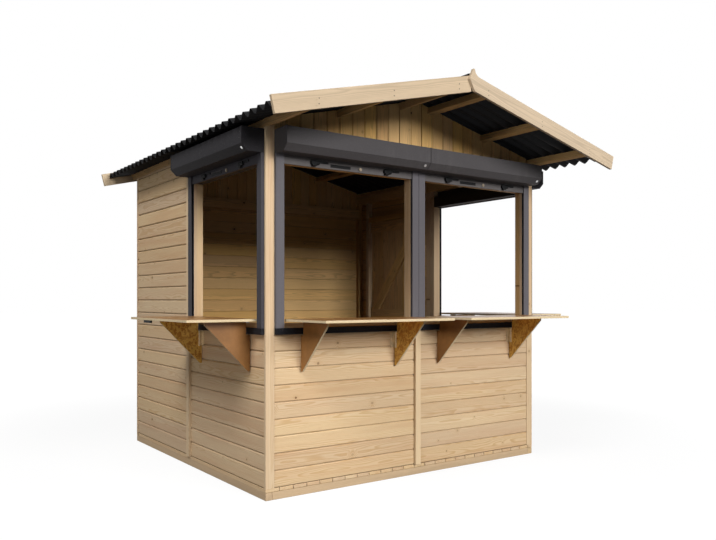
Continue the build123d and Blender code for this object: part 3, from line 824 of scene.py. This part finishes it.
def ply_edge_finish(name, shade, layer=0.0026):
    """Cut plywood: pale layers with darker glue lines, across the thickness."""
    material, shader = new_material(name, specular=0.03)
    grain = attribute(material.node_tree, "grain", "Vector")
    depth = grain.into("ShaderNodeSeparateXYZ", 0, output="Z")
    cut = grain.stretched(60.0, 60.0, 900.0).noise(1.0)
    tint = cut.ease(0.3, 0.7).mix(shade, times(shade, 0.78))
    glue = (depth / layer).math("FRACT").ease(0.82, 0.95) * 0.45
    tint = glue.mix(tint, (0.24, 0.13, 0.06))
    wire(shader, tint, cut.ease(0.0, 1.0, 0.55, 0.75), cut, 0.3, 0.0005)
    return material


def metal_finish(name, shade, metallic=1.0, rough=0.32):
    """Bare or plated metal with fine scratches."""
    material, shader = new_material(name, metallic=metallic)
    place = place_in(material.node_tree)
    fine = place.stretched(900.0, 900.0, 60.0).noise(1.0)
    tint = place.noise(30.0, 3.0, 0.6).ease(0.3, 0.75).mix(shade, times(shade, 0.72))
    wire(shader, tint, fine.ease(0.2, 0.8, rough - 0.08, rough + 0.12), fine, 0.08, 0.0002)
    return material


def moulded_finish(name, shade, soil, specular, grit, patches, rough, strength):
    """Moulded plastic or rubber, slightly soiled."""
    material, shader = new_material(name, specular)
    grit = place_in(material.node_tree).noise(*grit)
    tint = grit.ease(*patches).mix(shade, soil)
    wire(shader, tint, grit.ease(0.2, 0.8, *rough), grit, strength, 0.0003)
    return material


# How each finish is made: its maker, the material's name and what differs from the usual.
FINISHES = {
    "pine": (timber_finish, "Pine", {}),
    "trim_pine": (
        timber_finish, "Trim Pine",
        {"Ring Strength": 0.35, "Waviness": 0.012, "Knot Share": 0.12, "Tone Spread": 0.08}),
    "batten_pine": (timber_finish, "Batten Pine", {
        "heart": 0.9, "late": 0.75, "Ring Strength": 0.4, "Waviness": 0.012,
        "Knot Share": 0.1}),
    "barge_pine": (
        timber_finish, "Barge Pine",
        {"late": 0.68, "Ring Strength": 0.6, "Waviness": 0.02, "Knot Share": 0.15}),
    # Painted shade: a warmer copy of the pine for shaded wood.
    "inner_pine": (
        timber_finish, "Inner Pine",
        {"late": 0.62, "specular": 0.12, "passed_on": (0.15, 0.09, 0.05)}),
    "deck_pine": (timber_finish, "Deck Pine", {"passed_on": (0.12, 0.075, 0.045)}),
    # Painted shade: near-black pine for the side headers.
    "stained_pine": (
        timber_finish, "Stained Pine", {"specular": 0.12, "heart": 0.8, "late": 0.6}),
    "sawn": (timber_finish, "Sawn Timber", {"depth": 0.0014, "heart": 0.8, "Ring Strength": 0.35}),
    "grey_coat": (coat_finish, "Anthracite Coat", {}),
    # Painted light: the rails' coat is lighter than the boxes'.
    "rail_coat": (coat_finish, "Rail Coat", {}),
    "bar_coat": (coat_finish, "Bottom Bar Coat", {}),
    # Painted shade: darker coats for the sides.
    "side_box_coat": (coat_finish, "Side Box Coat", {"dust": 0.03, "specular": 0.03}),
    "side_rail_coat": (coat_finish, "Side Rail Coat", {"dust": 0.05, "specular": 0.03}),
    "sill_coat": (coat_finish, "Sill Coat", {"dust": 0.04}),
    "sheet": (sheet_finish, "Black Roof Sheet", {}),
    "film": (film_finish, "Brown Film", {}),
    "flakes": (flake_finish, "Flake Board", {}),
    "ply_edge": (ply_edge_finish, "Plywood Edge", {}),
    "zinc": (metal_finish, "Zinc Plate", {}),
    "yellow_zinc": (metal_finish, "Yellow Zinc", {"metallic": 0.5, "rough": 0.45}),
    "lock": (metal_finish, "Lock Face", {"metallic": 0.6, "rough": 0.4}),
    "nail": (metal_finish, "Nail Head", {"metallic": 0.4, "rough": 0.55}),
    "pad": (moulded_finish, "White Pad", {
        "soil": (0.62, 0.58, 0.52), "specular": 0.4, "grit": (60.0, 3.0, 0.6),
        "patches": (0.45, 0.8, 0.0, 0.3), "rough": (0.35, 0.5), "strength": 0.1}),
    "rubber": (moulded_finish, "Black Rubber", {
        "soil": (0.014, 0.014, 0.015), "specular": 0.12, "grit": (400.0,),
        "patches": (0.4, 0.8, 0.0, 0.5), "rough": (0.5, 0.7), "strength": 0.2}),
}


_made = {}


def finish(key):
    """The finish of that key, made the first time it is asked for."""
    if key not in _made:
        maker, name, differences = FINISHES[key]
        _made[key] = maker(name, getattr(colours(), key, None), **differences)
    return _made[key]


# ---------------------------------------------------------------- operators
def outwards_x(slab):
    """Out of a side wall, from whichever side it is on."""
    return X if middle(slab)[0] > 0 else -X


def outwards_y(slab):
    return Y if middle(slab)[1] > 0 else -Y


class Step:
    """What all the operators share."""

    bl_options = {"REGISTER", "UNDO"}


class STALL_OT_floor(Step, bpy.types.Operator):
    """Bearers, joists and floorboards with their nails"""

    bl_idname = "stall.floor"
    bl_label = "Floor"

    NAIL_SHARES = (0.2, 0.8)

    def execute(self, context):
        size = sizes()
        # The bearers' covered tops get painted shade.
        for name, node in (("rim_timbers", "floor_side_rims"), ("joist_timbers", "floor_joists")):
            timber_piece(
                name, node, "sawn", slot="rough_timber", rounding=size.sawn_arris, shaded_top=True)
        pitch = size.floor_board
        board_piece(
            "floorboards", "floor_deck", X, Y, Z, pitch, DECK_LOW[0], slot="floor_boards",
            grooves=(size.floor_groove, size.floor_back_groove), joint=size.floor_joint,
            ends=size.floor_end, material="deck_pine")
        joists = [middle(joist)[1] for joist in lent("floor_joists")]
        nails = bmesh.new()
        for i in range(int((DECK_HIGH[0] - DECK_LOW[0]) / pitch)):
            for y in joists:
                for share in self.NAIL_SHARES:
                    place = (DECK_LOW[0] + (i + share) * pitch, y, DECK_HIGH[2])
                    add_nail(nails, place, Z, size.nail)
        put_piece("floor_nails", nails, GROUND_BODY, ["nail"], "bright_steel")
        return {"FINISHED"}


class STALL_OT_frame(Step, bpy.types.Operator):
    """Posts, rails and plates inside the walls"""

    bl_idname = "stall.frame"
    bl_label = "Frame Timbers"

    def execute(self, context):
        for name, node in (
                ("corner_timbers", "corner_posts"), ("low_timbers", "low_rails"),
                ("plate_timbers", "top_plates")):
            timber_piece(name, node)
        # Headers over the side openings take the near-black pine as painted shade.
        timber_piece("head_timbers", "head_rails", stained=self.over_side_opening)
        timber_piece("post_timbers", "wall_posts", "pine")
        return {"FINISHED"}

    def over_side_opening(self, rail):
        return lengthwise(rail)[0] == Y and middle(rail)[1] < 0


class STALL_OT_boards(Step, bpy.types.Operator):
    """Grooved boards of the walls and gables"""

    bl_idname = "stall.boards"
    bl_label = "Wall Boards"

    def execute(self, context):
        wall = {"pitch": sizes().wall_board, "first": DECK_HIGH[2], "seat": sizes().seat}
        side = {"joint": sizes().side_joint, **wall}
        # Inner faces take the shaded pine and the side headers the near-black pine, both painted
        # shade.
        for name, node, inner in (
                ("side_parapet_boards", "side_parapets", "inner_pine"),
                ("side_header_boards", "side_headers", "stained_pine"),
                ("left_rear_boards", "left_rear_wall", "inner_pine"),
                ("beside_door_boards", "right_wall_beside_door", "inner_pine"),
                ("over_door_boards", "right_wall_over_door", "inner_pine")):
            board_piece(name, node, Z, Y, outwards_x, inner=inner, **side)
        board_piece("front_parapet_boards", "front_parapets", Z, X, -Y, **wall)
        board_piece("back_wall_boards", "back_wall", Z, X, Y, split=(0.0,), **wall)
        wide = sizes().gable_board
        # The gables take the shaded pine on both faces, as painted shade.
        board_piece(
            "gable_boards", "gables", X, Z, outwards_y, wide, -wide / 2, material="inner_pine")
        return {"FINISHED"}


class STALL_OT_trims(Step, bpy.types.Operator):
    """Corner trims, battens, jamb boards and ledgers"""

    bl_idname = "stall.trims"
    bl_label = "Trims"

    def execute(self, context):
        for name, node in (
                ("corner_trim_boards", "corner_trims"), ("jamb_strips", "jamb_boards"),
                ("ledger_strips", "counter_ledgers")):
            timber_piece(name, node, "trim_pine")
        timber_piece("batten_strips", "wall_battens", "batten_pine")
        return {"FINISHED"}


class STALL_OT_roof_timbers(Step, bpy.types.Operator):
    """Purlins and barge boards with their nails"""

    bl_idname = "stall.roof_timbers"
    bl_label = "Roof Timbers"

    NAIL_RISES = (-0.014, 0.016)

    def execute(self, context):
        timber_piece("purlin_timbers", "roof_purlins")
        timber_piece("barge_timbers", "barge_boards", "barge_pine")
        nails = bmesh.new()
        faces = {}
        for board in lent("barge_boards"):
            out = outwards_y(board)
            faces[out.y] = out * reach(board, out)[1], out
        for purlin in lent("roof_purlins"):
            x, _, z = middle(purlin)
            for face, out in faces.values():
                for rise in self.NAIL_RISES:
                    add_nail(nails, face + Vector((x, 0, z + rise)), out, sizes().nail)
        put_piece("barge_nails", nails, GROUND_BODY, ["nail"], "bright_steel")
        return {"FINISHED"}


class STALL_OT_roof_cover(Step, bpy.types.Operator):
    """Corrugated sheets, ridge cap and their fixings"""

    bl_idname = "stall.roof_cover"
    bl_label = "Roof Cover"

    SHEET = 0.003
    WAVE = 0.09
    STEPS = 24
    ROWS = 6
    CAP = 0.011
    CAP_SUNK = 0.001

    def execute(self, context):
        for side in ("left", "right"):
            self.sheet(side)
        metal_piece("ridge_fold", "ridge_cap", "sheet", slot="black_sheet")
        return {"FINISHED"}

    def sheet(self, side):
        """One slope's sheet: smooth waves, with capped nails on every other crest."""
        node = f"roof_sheet_{side}"
        plate = solids_of(node)[0]
        down, _ = lengthwise(plate)
        down = down if down.z < 0 else -down
        square = down.cross(Y)
        square = square if square.z > 0 else -square
        (low_y, high_y), (top, foot) = reach(plate, Y), reach(plate, down)
        trough, crest = reach(plate, square)
        plate.free()
        waves = round((high_y - low_y) / self.WAVE)
        rise = crest - trough - self.SHEET
        sheet = bmesh.new()
        bmesh.ops.create_grid(
            sheet, x_segments=waves * self.STEPS, y_segments=self.ROWS, size=0.5)
        for v in sheet.verts:
            across, along = v.co.x + 0.5, v.co.y + 0.5
            height = rise / 2 * (1 - math.cos(2 * math.pi * waves * across))
            v.co = (
                Y * (low_y + (high_y - low_y) * across) + down * (top + (foot - top) * along)
                + square * (trough + height))
        bmesh.ops.recalc_face_normals(sheet, faces=sheet.faces)
        if sum(f.normal.dot(square) for f in sheet.faces) > 0:
            bmesh.ops.reverse_faces(sheet, faces=sheet.faces)
        bmesh.ops.solidify(sheet, geom=sheet.faces[:], thickness=-self.SHEET)
        bmesh.ops.recalc_face_normals(sheet, faces=sheet.faces)
        for purlin in lent("roof_purlins"):
            x, _, z = middle(purlin)
            if (x > 0) != (side == "right"):
                continue
            line = down * Vector((x, 0, z)).dot(down) + square * (crest - self.CAP_SUNK)
            for wave in range(0, waves, 2):
                y = low_y + (high_y - low_y) * (wave + 0.5) / waves
                self.nail_cap(sheet, line + Y * y, square)
        put_piece(f"{side}_sheet", sheet, GROUND_BODY, ["sheet"], "black_sheet", [node])

    def nail_cap(self, target, place, square):
        cap = bmesh.new()
        bmesh.ops.create_uvsphere(
            cap, u_segments=10, v_segments=6, radius=self.CAP,
            matrix=Matrix.Translation(place) @ turned(square) @ Matrix.Diagonal((1, 1, 0.5, 1)))
        gather(target, cap)


class STALL_OT_shutters(Step, bpy.types.Operator):
    """Shutter boxes, guide rails, bottom bars and sills"""

    bl_idname = "stall.shutters"
    bl_label = "Roller Shutters"

    # A box's screws: in from its ends, up from its foot and down from its top, and sunk.
    SCREW_IN, SCREW_UP, SCREW_DOWN, SCREW_SUNK = 0.03, 0.075, 0.03, 0.0022
    # The stud under a box's end: in from the end, back from the face and up from the foot.
    STUD_IN, STUD_BACK = 0.035, 0.022
    STUD = {"radius": 0.010, "height": 0.010, "rounding": 0.0015, "sides": 14}
    # A brush strip reaches from the first to the second place in a rail's mouth, clear of the
    # rail's two ends. Each rail has two strips, at these depths.
    WEB_DEPTH = 0.009
    BRUSH = (0.002, 0.006)
    BRUSH_CLEAR = 0.001
    BRUSH_ROUNDING = 0.0006
    BRUSH_DEPTHS = ((0.0032, 0.0055), (0.0125, 0.0148))
    # Blocks on a bottom bar: along it, up, width, height, depth, rounding and material slot.
    # Stoppers are measured from a share of the bar's length, the pull strip from its middle.
    # A stopper's last block is a thin black strip of painted shade.
    STOPPERS = (0.235, 0.77)
    STOPPER = (
        (0.0, 0.028, 0.064, 0.026, 0.016, 0.006, 1),
        (-0.008, 0.014, 0.034, 0.020, 0.018, 0.006, 1),
        # Painted shade: a thin black strip beside the stopper.
        (0.058, 0.034, 0.080, 0.012, 0.007, 0.003, 1))
    PULL = (
        (-0.085, 0.021, 0.150, 0.020, 0.0025, 0.001, 1),
        (-0.085, 0.031, 0.150, 0.003, 0.006, 0.0008, 0))
    BLOCK_SUNK = 0.002
    # A lock's place on its bar, and its two discs: how far out, radius, height, rounding, sides.
    LOCK = (0.065, 0.021)
    DISCS = ((0.002, 0.0115, 0.008, 0.001, 20), (0.0062, 0.0075, 0.003, 0.0006, 16))

    def execute(self, context):
        # Boxes, rails and bars on the sides get darker coats as painted shade.
        metal_piece(
            "shutter_housings", "shutter_boxes", "grey_coat", "zinc", extras=self.box_screws,
            shaded_side_coat="side_box_coat")
        metal_piece(
            "rail_channels", "guide_rails", "rail_coat", "rubber", extras=self.rail_brushes,
            shaded_side_coat="side_rail_coat")
        metal_piece(
            "bottom_bars", "shutter_end_bars", "bar_coat", "rubber", "lock",
            extras=self.bar_fittings, shaded_side_coat="side_rail_coat")
        metal_piece("sill_profiles", "shutter_sills", "sill_coat")
        return {"FINISHED"}

    def box_screws(self, piece):
        """Screws near the ends of each box, and a bright stud on the fold under its end."""
        for box in lent("shutter_boxes"):
            wall = Wall(box)
            for s in (wall.start + self.SCREW_IN, wall.end - self.SCREW_IN):
                for z in (wall.low + self.SCREW_UP, wall.high - self.SCREW_DOWN):
                    place = wall.at(s, wall.face - self.SCREW_SUNK, z)
                    add_screw(piece, place, wall.out, sizes().screw)
            right = wall.out.dot(X) > FACING
            near = wall.start + self.STUD_IN if right else wall.end - self.STUD_IN
            place = wall.at(near, wall.face - self.STUD_BACK, wall.low + self.STUD_BACK)
            add_rod(piece, place, (wall.out - Z).normalized(), **self.STUD, material=1)

    def rail_brushes(self, piece):
        """Black brush strips in the mouth of each rail."""
        for rail in lent("guide_rails"):
            wall = Wall(rail)
            depth = wall.back + self.WEB_DEPTH
            web = min(rail.verts, key=lambda v: abs(v.co.dot(wall.out) - depth))
            web = web.co.dot(wall.along)
            at_start = abs(web - wall.start) < abs(web - wall.end)
            foot, tip = [
                wall.start + step if at_start else wall.end - step for step in self.BRUSH]
            for near, far in self.BRUSH_DEPTHS:
                add_box(
                    piece, wall.at(foot, wall.back + near, wall.low + self.BRUSH_CLEAR),
                    wall.at(tip, wall.back + far, wall.high - self.BRUSH_CLEAR),
                    self.BRUSH_ROUNDING, material=1)

    def bar_fittings(self, piece):
        """Stoppers with a black strip of painted shade beside each, a pull strip and a lock on
        each bottom bar.
        """
        for bar in lent("shutter_end_bars"):
            wall = Wall(bar)
            centre = (wall.start + wall.end) / 2
            for share in self.STOPPERS:
                s = wall.start + (wall.end - wall.start) * share
                self.blocks(piece, wall, s, self.STOPPER)
            self.blocks(piece, wall, centre, self.PULL)
            for out, *disc in self.DISCS:
                place = wall.at(centre + self.LOCK[0], wall.face + out, wall.low + self.LOCK[1])
                add_rod(piece, place, wall.out, *disc, material=2)

    def blocks(self, piece, wall, start, rows):
        for shift, up, width, height, depth, rounding, material in rows:
            s, z = start + shift, wall.low + up
            add_box(
                piece, wall.at(s - width / 2, wall.face - self.BLOCK_SUNK, z - height / 2),
                wall.at(s + width / 2, wall.face + depth, z + height / 2),
                rounding, 2, material)


# What stands further out of a panel's back than this is a pad.
PAD_PROUD = 0.001


def panel_piece(name, node, body, thick, front, back, extras=None):
    """A cut panel: its own finish on each face, layers round its edges, a pad behind."""
    piece = bmesh.new()
    for solid in solids_of(node):
        along, _ = lengthwise(solid)
        backs = [f for f in solid.faces if f.normal.dot(thick) < -FACING]
        back_place = max(backs, key=lambda f: f.calc_area()).calc_center_median().dot(thick)
        for face in solid.faces:
            facing = face.normal.dot(thick)
            face.material_index = 0 if facing > FACING else 1 if facing < -FACING else 2
            if face.calc_center_median().dot(thick) < back_place - PAD_PROUD:
                face.material_index = 3
        bevel(solid, sharp_edges(solid), sizes().panel_arris)
        lay_grain(solid, along, thick, random.Random(name))
        gather(piece, solid)
    if extras:
        extras(piece)
    finishes = (front, back, "ply_edge", "pad", "rubber")
    put_piece(name, piece, body, finishes, "film_plywood", [node])


# Each counter, and the direction that runs along its wall.
COUNTERS = {"front_left": X, "front_right": X, "left": Y, "right": Y}


class STALL_OT_counters(Step, bpy.types.Operator):
    """Folding counters with a brown film top and pale cut edges"""

    bl_idname = "stall.counters"
    bl_label = "Counters"

    PANEL = 0.015
    # Where a side counter's catch starts, how long and how high it is, and how far in it lies.
    CATCH = {"left": 0.585, "right": 0.004}
    CATCH_LENGTH = 0.122
    CATCH_HEIGHT = 0.016
    CATCH_IN = (0.002, 0.014)

    def execute(self, context):
        for side in COUNTERS:
            node = f"{side}_counter"
            extras = (lambda piece: self.catch(piece, node)) if side in self.CATCH else None
            panel_piece(f"{side}_counter_panel", node, node, Z, "film", "flakes", extras)
        return {"FINISHED"}

    def catch(self, piece, node):
        """A black edge catch under a side counter's outer edge."""
        low, high = map(Vector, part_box(node))
        side = node.split("_")[0]
        start, under = low.y + self.CATCH[side], high.z - self.PANEL
        near, far = [
            low.x + step if side == "left" else high.x - step for step in self.CATCH_IN]
        add_box(
            piece, (near, start, under - self.CATCH_HEIGHT),
            (far, start + self.CATCH_LENGTH, under + 0.001), 0.0015, material=4)


class STALL_OT_brackets(Step, bpy.types.Operator):
    """Hinged brackets: smooth film outside, pressed flakes inside"""

    bl_idname = "stall.brackets"
    bl_label = "Brackets"

    def execute(self, context):
        for side, along in COUNTERS.items():
            for end, inward in (("a", along), ("b", -along)):
                node = f"{side}_bracket_{end}"
                name = f"{side}_bracket_panel_{end}"
                panel_piece(name, node, node, inward, "flakes", "film")
        return {"FINISHED"}


class STALL_OT_hinges(Step, bpy.types.Operator):
    """Hinges of the counters and brackets"""

    bl_idname = "stall.hinges"
    bl_label = "Hinges"

    # How deep a bracket hinge's barrel and the line of its pin lie behind the hinge's face.
    BARREL_BACK = 0.0044
    PIN_BACK = 0.0045
    PIN = {"radius": 0.0036, "height": 0.003, "rounding": 0.0006, "sides": 12}

    def execute(self, context):
        metal_piece("counter_barrels", "counter_hinges", "zinc", slot="bright_steel")
        metal_piece(
            "bracket_barrels", "bracket_hinges", "yellow_zinc", "zinc", slot="bright_steel",
            extras=self.pin_ends)
        return {"FINISHED"}

    def pin_ends(self, piece):
        """Bright ends of the hinges' pins."""
        for hinge in lent("bracket_hinges"):
            wall = Wall(hinge)
            barrel = [
                v.co.dot(wall.along) for v in hinge.verts
                if v.co.dot(wall.out) > wall.face - self.BARREL_BACK]
            for z in (wall.low, wall.high):
                place = wall.at(sum(barrel) / len(barrel), wall.face - self.PIN_BACK, z)
                add_rod(piece, place, Z, **self.PIN, material=1)


class STALL_OT_door(Step, bpy.types.Operator):
    """Door boards, ledges, braces and ironmongery"""

    bl_idname = "stall.door"
    bl_label = "Door"

    def execute(self, context):
        low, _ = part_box("door_leaf")
        board_piece(
            "door_boards", "door_leaf", Y, Z, X, sizes().door_board, low[1], body="door")
        timber_piece("door_ledge_timbers", "door_ledges", body="door")
        timber_piece("door_brace_timbers", "door_braces", body="door")
        for node in ("door_straps", "door_hinge_plates", "door_handle"):
            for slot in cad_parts[node].material_slots:
                slot.material = finish("zinc")
        return {"FINISHED"}


class STALL_OT_stage(Step, bpy.types.Operator):
    """Pale floor, soft studio light and the camera"""

    bl_idname = "stall.stage"
    bl_label = "Studio"

    FLOOR_REACH = 60.0
    FLOOR_GLOW = (0.90, 1.0)
    FLOOR_FADE = (2.2, 5.5)
    FLOOR_SHADE = (0.14, 0.14, 0.14)
    SKY = 0.018
    # Each light's name, place, aim, watts and size.
    LIGHTS = (
        ("key_light", (2.4, -19.1, 7.2), (0.0, 0.0, 1.4), 3100.0, (8.4, 6.0)),
        ("soft_light", (-7.7, -4.5, 9.2), (0.0, 0.0, 1.1), 800.0, (4.5, 4.5)),
        ("low_light", (-15.5, -5.2, 3.4), (0.0, 0.0, 1.1), 260.0, (5.0, 3.0)),
    )
    CAMERA_PLACE = (-3.178, -4.899, 1.1805)
    CAMERA_TURN = math.radians(-35.5)
    CAMERA_LENS = 36.59
    CAMERA_RISE = 0.041

    def execute(self, context):
        self.floor()
        self.sky()
        for light in self.LIGHTS:
            self.light(*light)
        self.camera()
        context.scene.view_settings.view_transform = "Standard"
        return {"FINISHED"}

    def put(self, name, data):
        piece = bpy.data.objects.new(name, data)
        bpy.context.scene.collection.objects.link(piece)
        return piece

    def shown_rays(self, tree):
        """1 for the rays that show the background itself."""
        camera, glossy, through = (
            value_of(tree, "ShaderNodeLightPath", f"Is {kind} Ray")
            for kind in ("Camera", "Glossy", "Transmission"))
        return camera.math("MAXIMUM", through).math("MAXIMUM", glossy)

    def floor(self):
        ground = bmesh.new()
        bmesh.ops.create_grid(ground, x_segments=1, y_segments=1, size=self.FLOOR_REACH)
        mesh = bpy.data.meshes.new("studio_floor")
        ground.to_mesh(mesh)
        ground.free()
        material = bpy.data.materials.new("Studio Floor")
        material.use_nodes = True
        tree = material.node_tree
        tree.nodes.clear()
        matt = value_of(tree, "ShaderNodeBsdfDiffuse", 0, {"Color": self.FLOOR_SHADE})
        level = place_in(tree).length().ease(*self.FLOOR_FADE, *self.FLOOR_GLOW)
        glow = (self.shown_rays(tree) * level).into("ShaderNodeEmission", "Strength")
        both = matt.into("ShaderNodeAddShader", 0, {1: glow})
        add_node(tree, "ShaderNodeOutputMaterial", {"Surface": both})
        mesh.materials.append(material)
        piece = self.put("studio_floor", mesh)
        piece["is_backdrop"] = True

    def sky(self):
        world = bpy.data.worlds.new("Studio")
        bpy.context.scene.world = world
        world.use_nodes = True
        tree = world.node_tree
        tree.nodes.clear()
        strength = self.shown_rays(tree).ease(0.0, 1.0, self.SKY, 1.0)
        light = strength.into("ShaderNodeBackground", "Strength", {"Color": (1, 1, 1)})
        add_node(tree, "ShaderNodeOutputWorld", {"Surface": light})

    def light(self, name, place, aim, watts, size):
        lamp = bpy.data.lights.new(name, "AREA")
        lamp.shape = "RECTANGLE"
        lamp.size, lamp.size_y = size
        lamp.energy = watts
        piece = self.put(name, lamp)
        piece.location = place
        facing = (Vector(aim) - Vector(place)).normalized()
        piece.rotation_euler = facing.to_track_quat("-Z", "Y").to_euler()

    def camera(self):
        lens = bpy.data.cameras.new("camera")
        lens.sensor_fit = "HORIZONTAL"
        lens.sensor_width = 36.0
        lens.lens = self.CAMERA_LENS
        lens.shift_y = self.CAMERA_RISE
        lens.clip_end = 200.0
        piece = self.put("camera", lens)
        piece.location = self.CAMERA_PLACE
        piece.rotation_euler = (math.radians(90), 0.0, self.CAMERA_TURN)
        bpy.context.scene.camera = piece


OPERATORS = (
    STALL_OT_floor, STALL_OT_frame, STALL_OT_boards, STALL_OT_trims, STALL_OT_roof_timbers,
    STALL_OT_roof_cover, STALL_OT_shutters, STALL_OT_counters, STALL_OT_brackets,
    STALL_OT_hinges, STALL_OT_door, STALL_OT_stage)


class STALL_PT_sidebar(bpy.types.Panel):
    """Lists the stall's sizes, colours and operators"""

    bl_idname = "STALL_PT_sidebar"
    bl_label = "Market Stall"
    bl_space_type = "VIEW_3D"
    bl_region_type = "UI"
    bl_category = "Market Stall"

    def draw(self, context):
        for group in (context.scene.stall_sizes, context.scene.stall_colours):
            column = self.layout.column(align=True)
            for name in group.__annotations__:
                column.prop(group, name, text=name.replace("_", " ").capitalize())
        for operator in OPERATORS:
            self.layout.operator(operator.bl_idname)


CLASSES = (StallSizes, StallColours, *OPERATORS, STALL_PT_sidebar)


def register():
    for cls in CLASSES:
        bpy.utils.register_class(cls)
    bpy.types.Scene.stall_sizes = PointerProperty(type=StallSizes)
    bpy.types.Scene.stall_colours = PointerProperty(type=StallColours)


def unregister():
    del bpy.types.Scene.stall_colours
    del bpy.types.Scene.stall_sizes
    for cls in reversed(CLASSES):
        bpy.utils.unregister_class(cls)


def main():
    register()
    for operator in OPERATORS:
        group, name = operator.bl_idname.split(".")
        getattr(getattr(bpy.ops, group), name)()
    boxes = {"cad": CAD_BOX, "visual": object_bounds()}
    rows = {key: [[float(c) for c in corner] for corner in box] for key, box in boxes.items()}


if __name__ == "__main__":
    main()
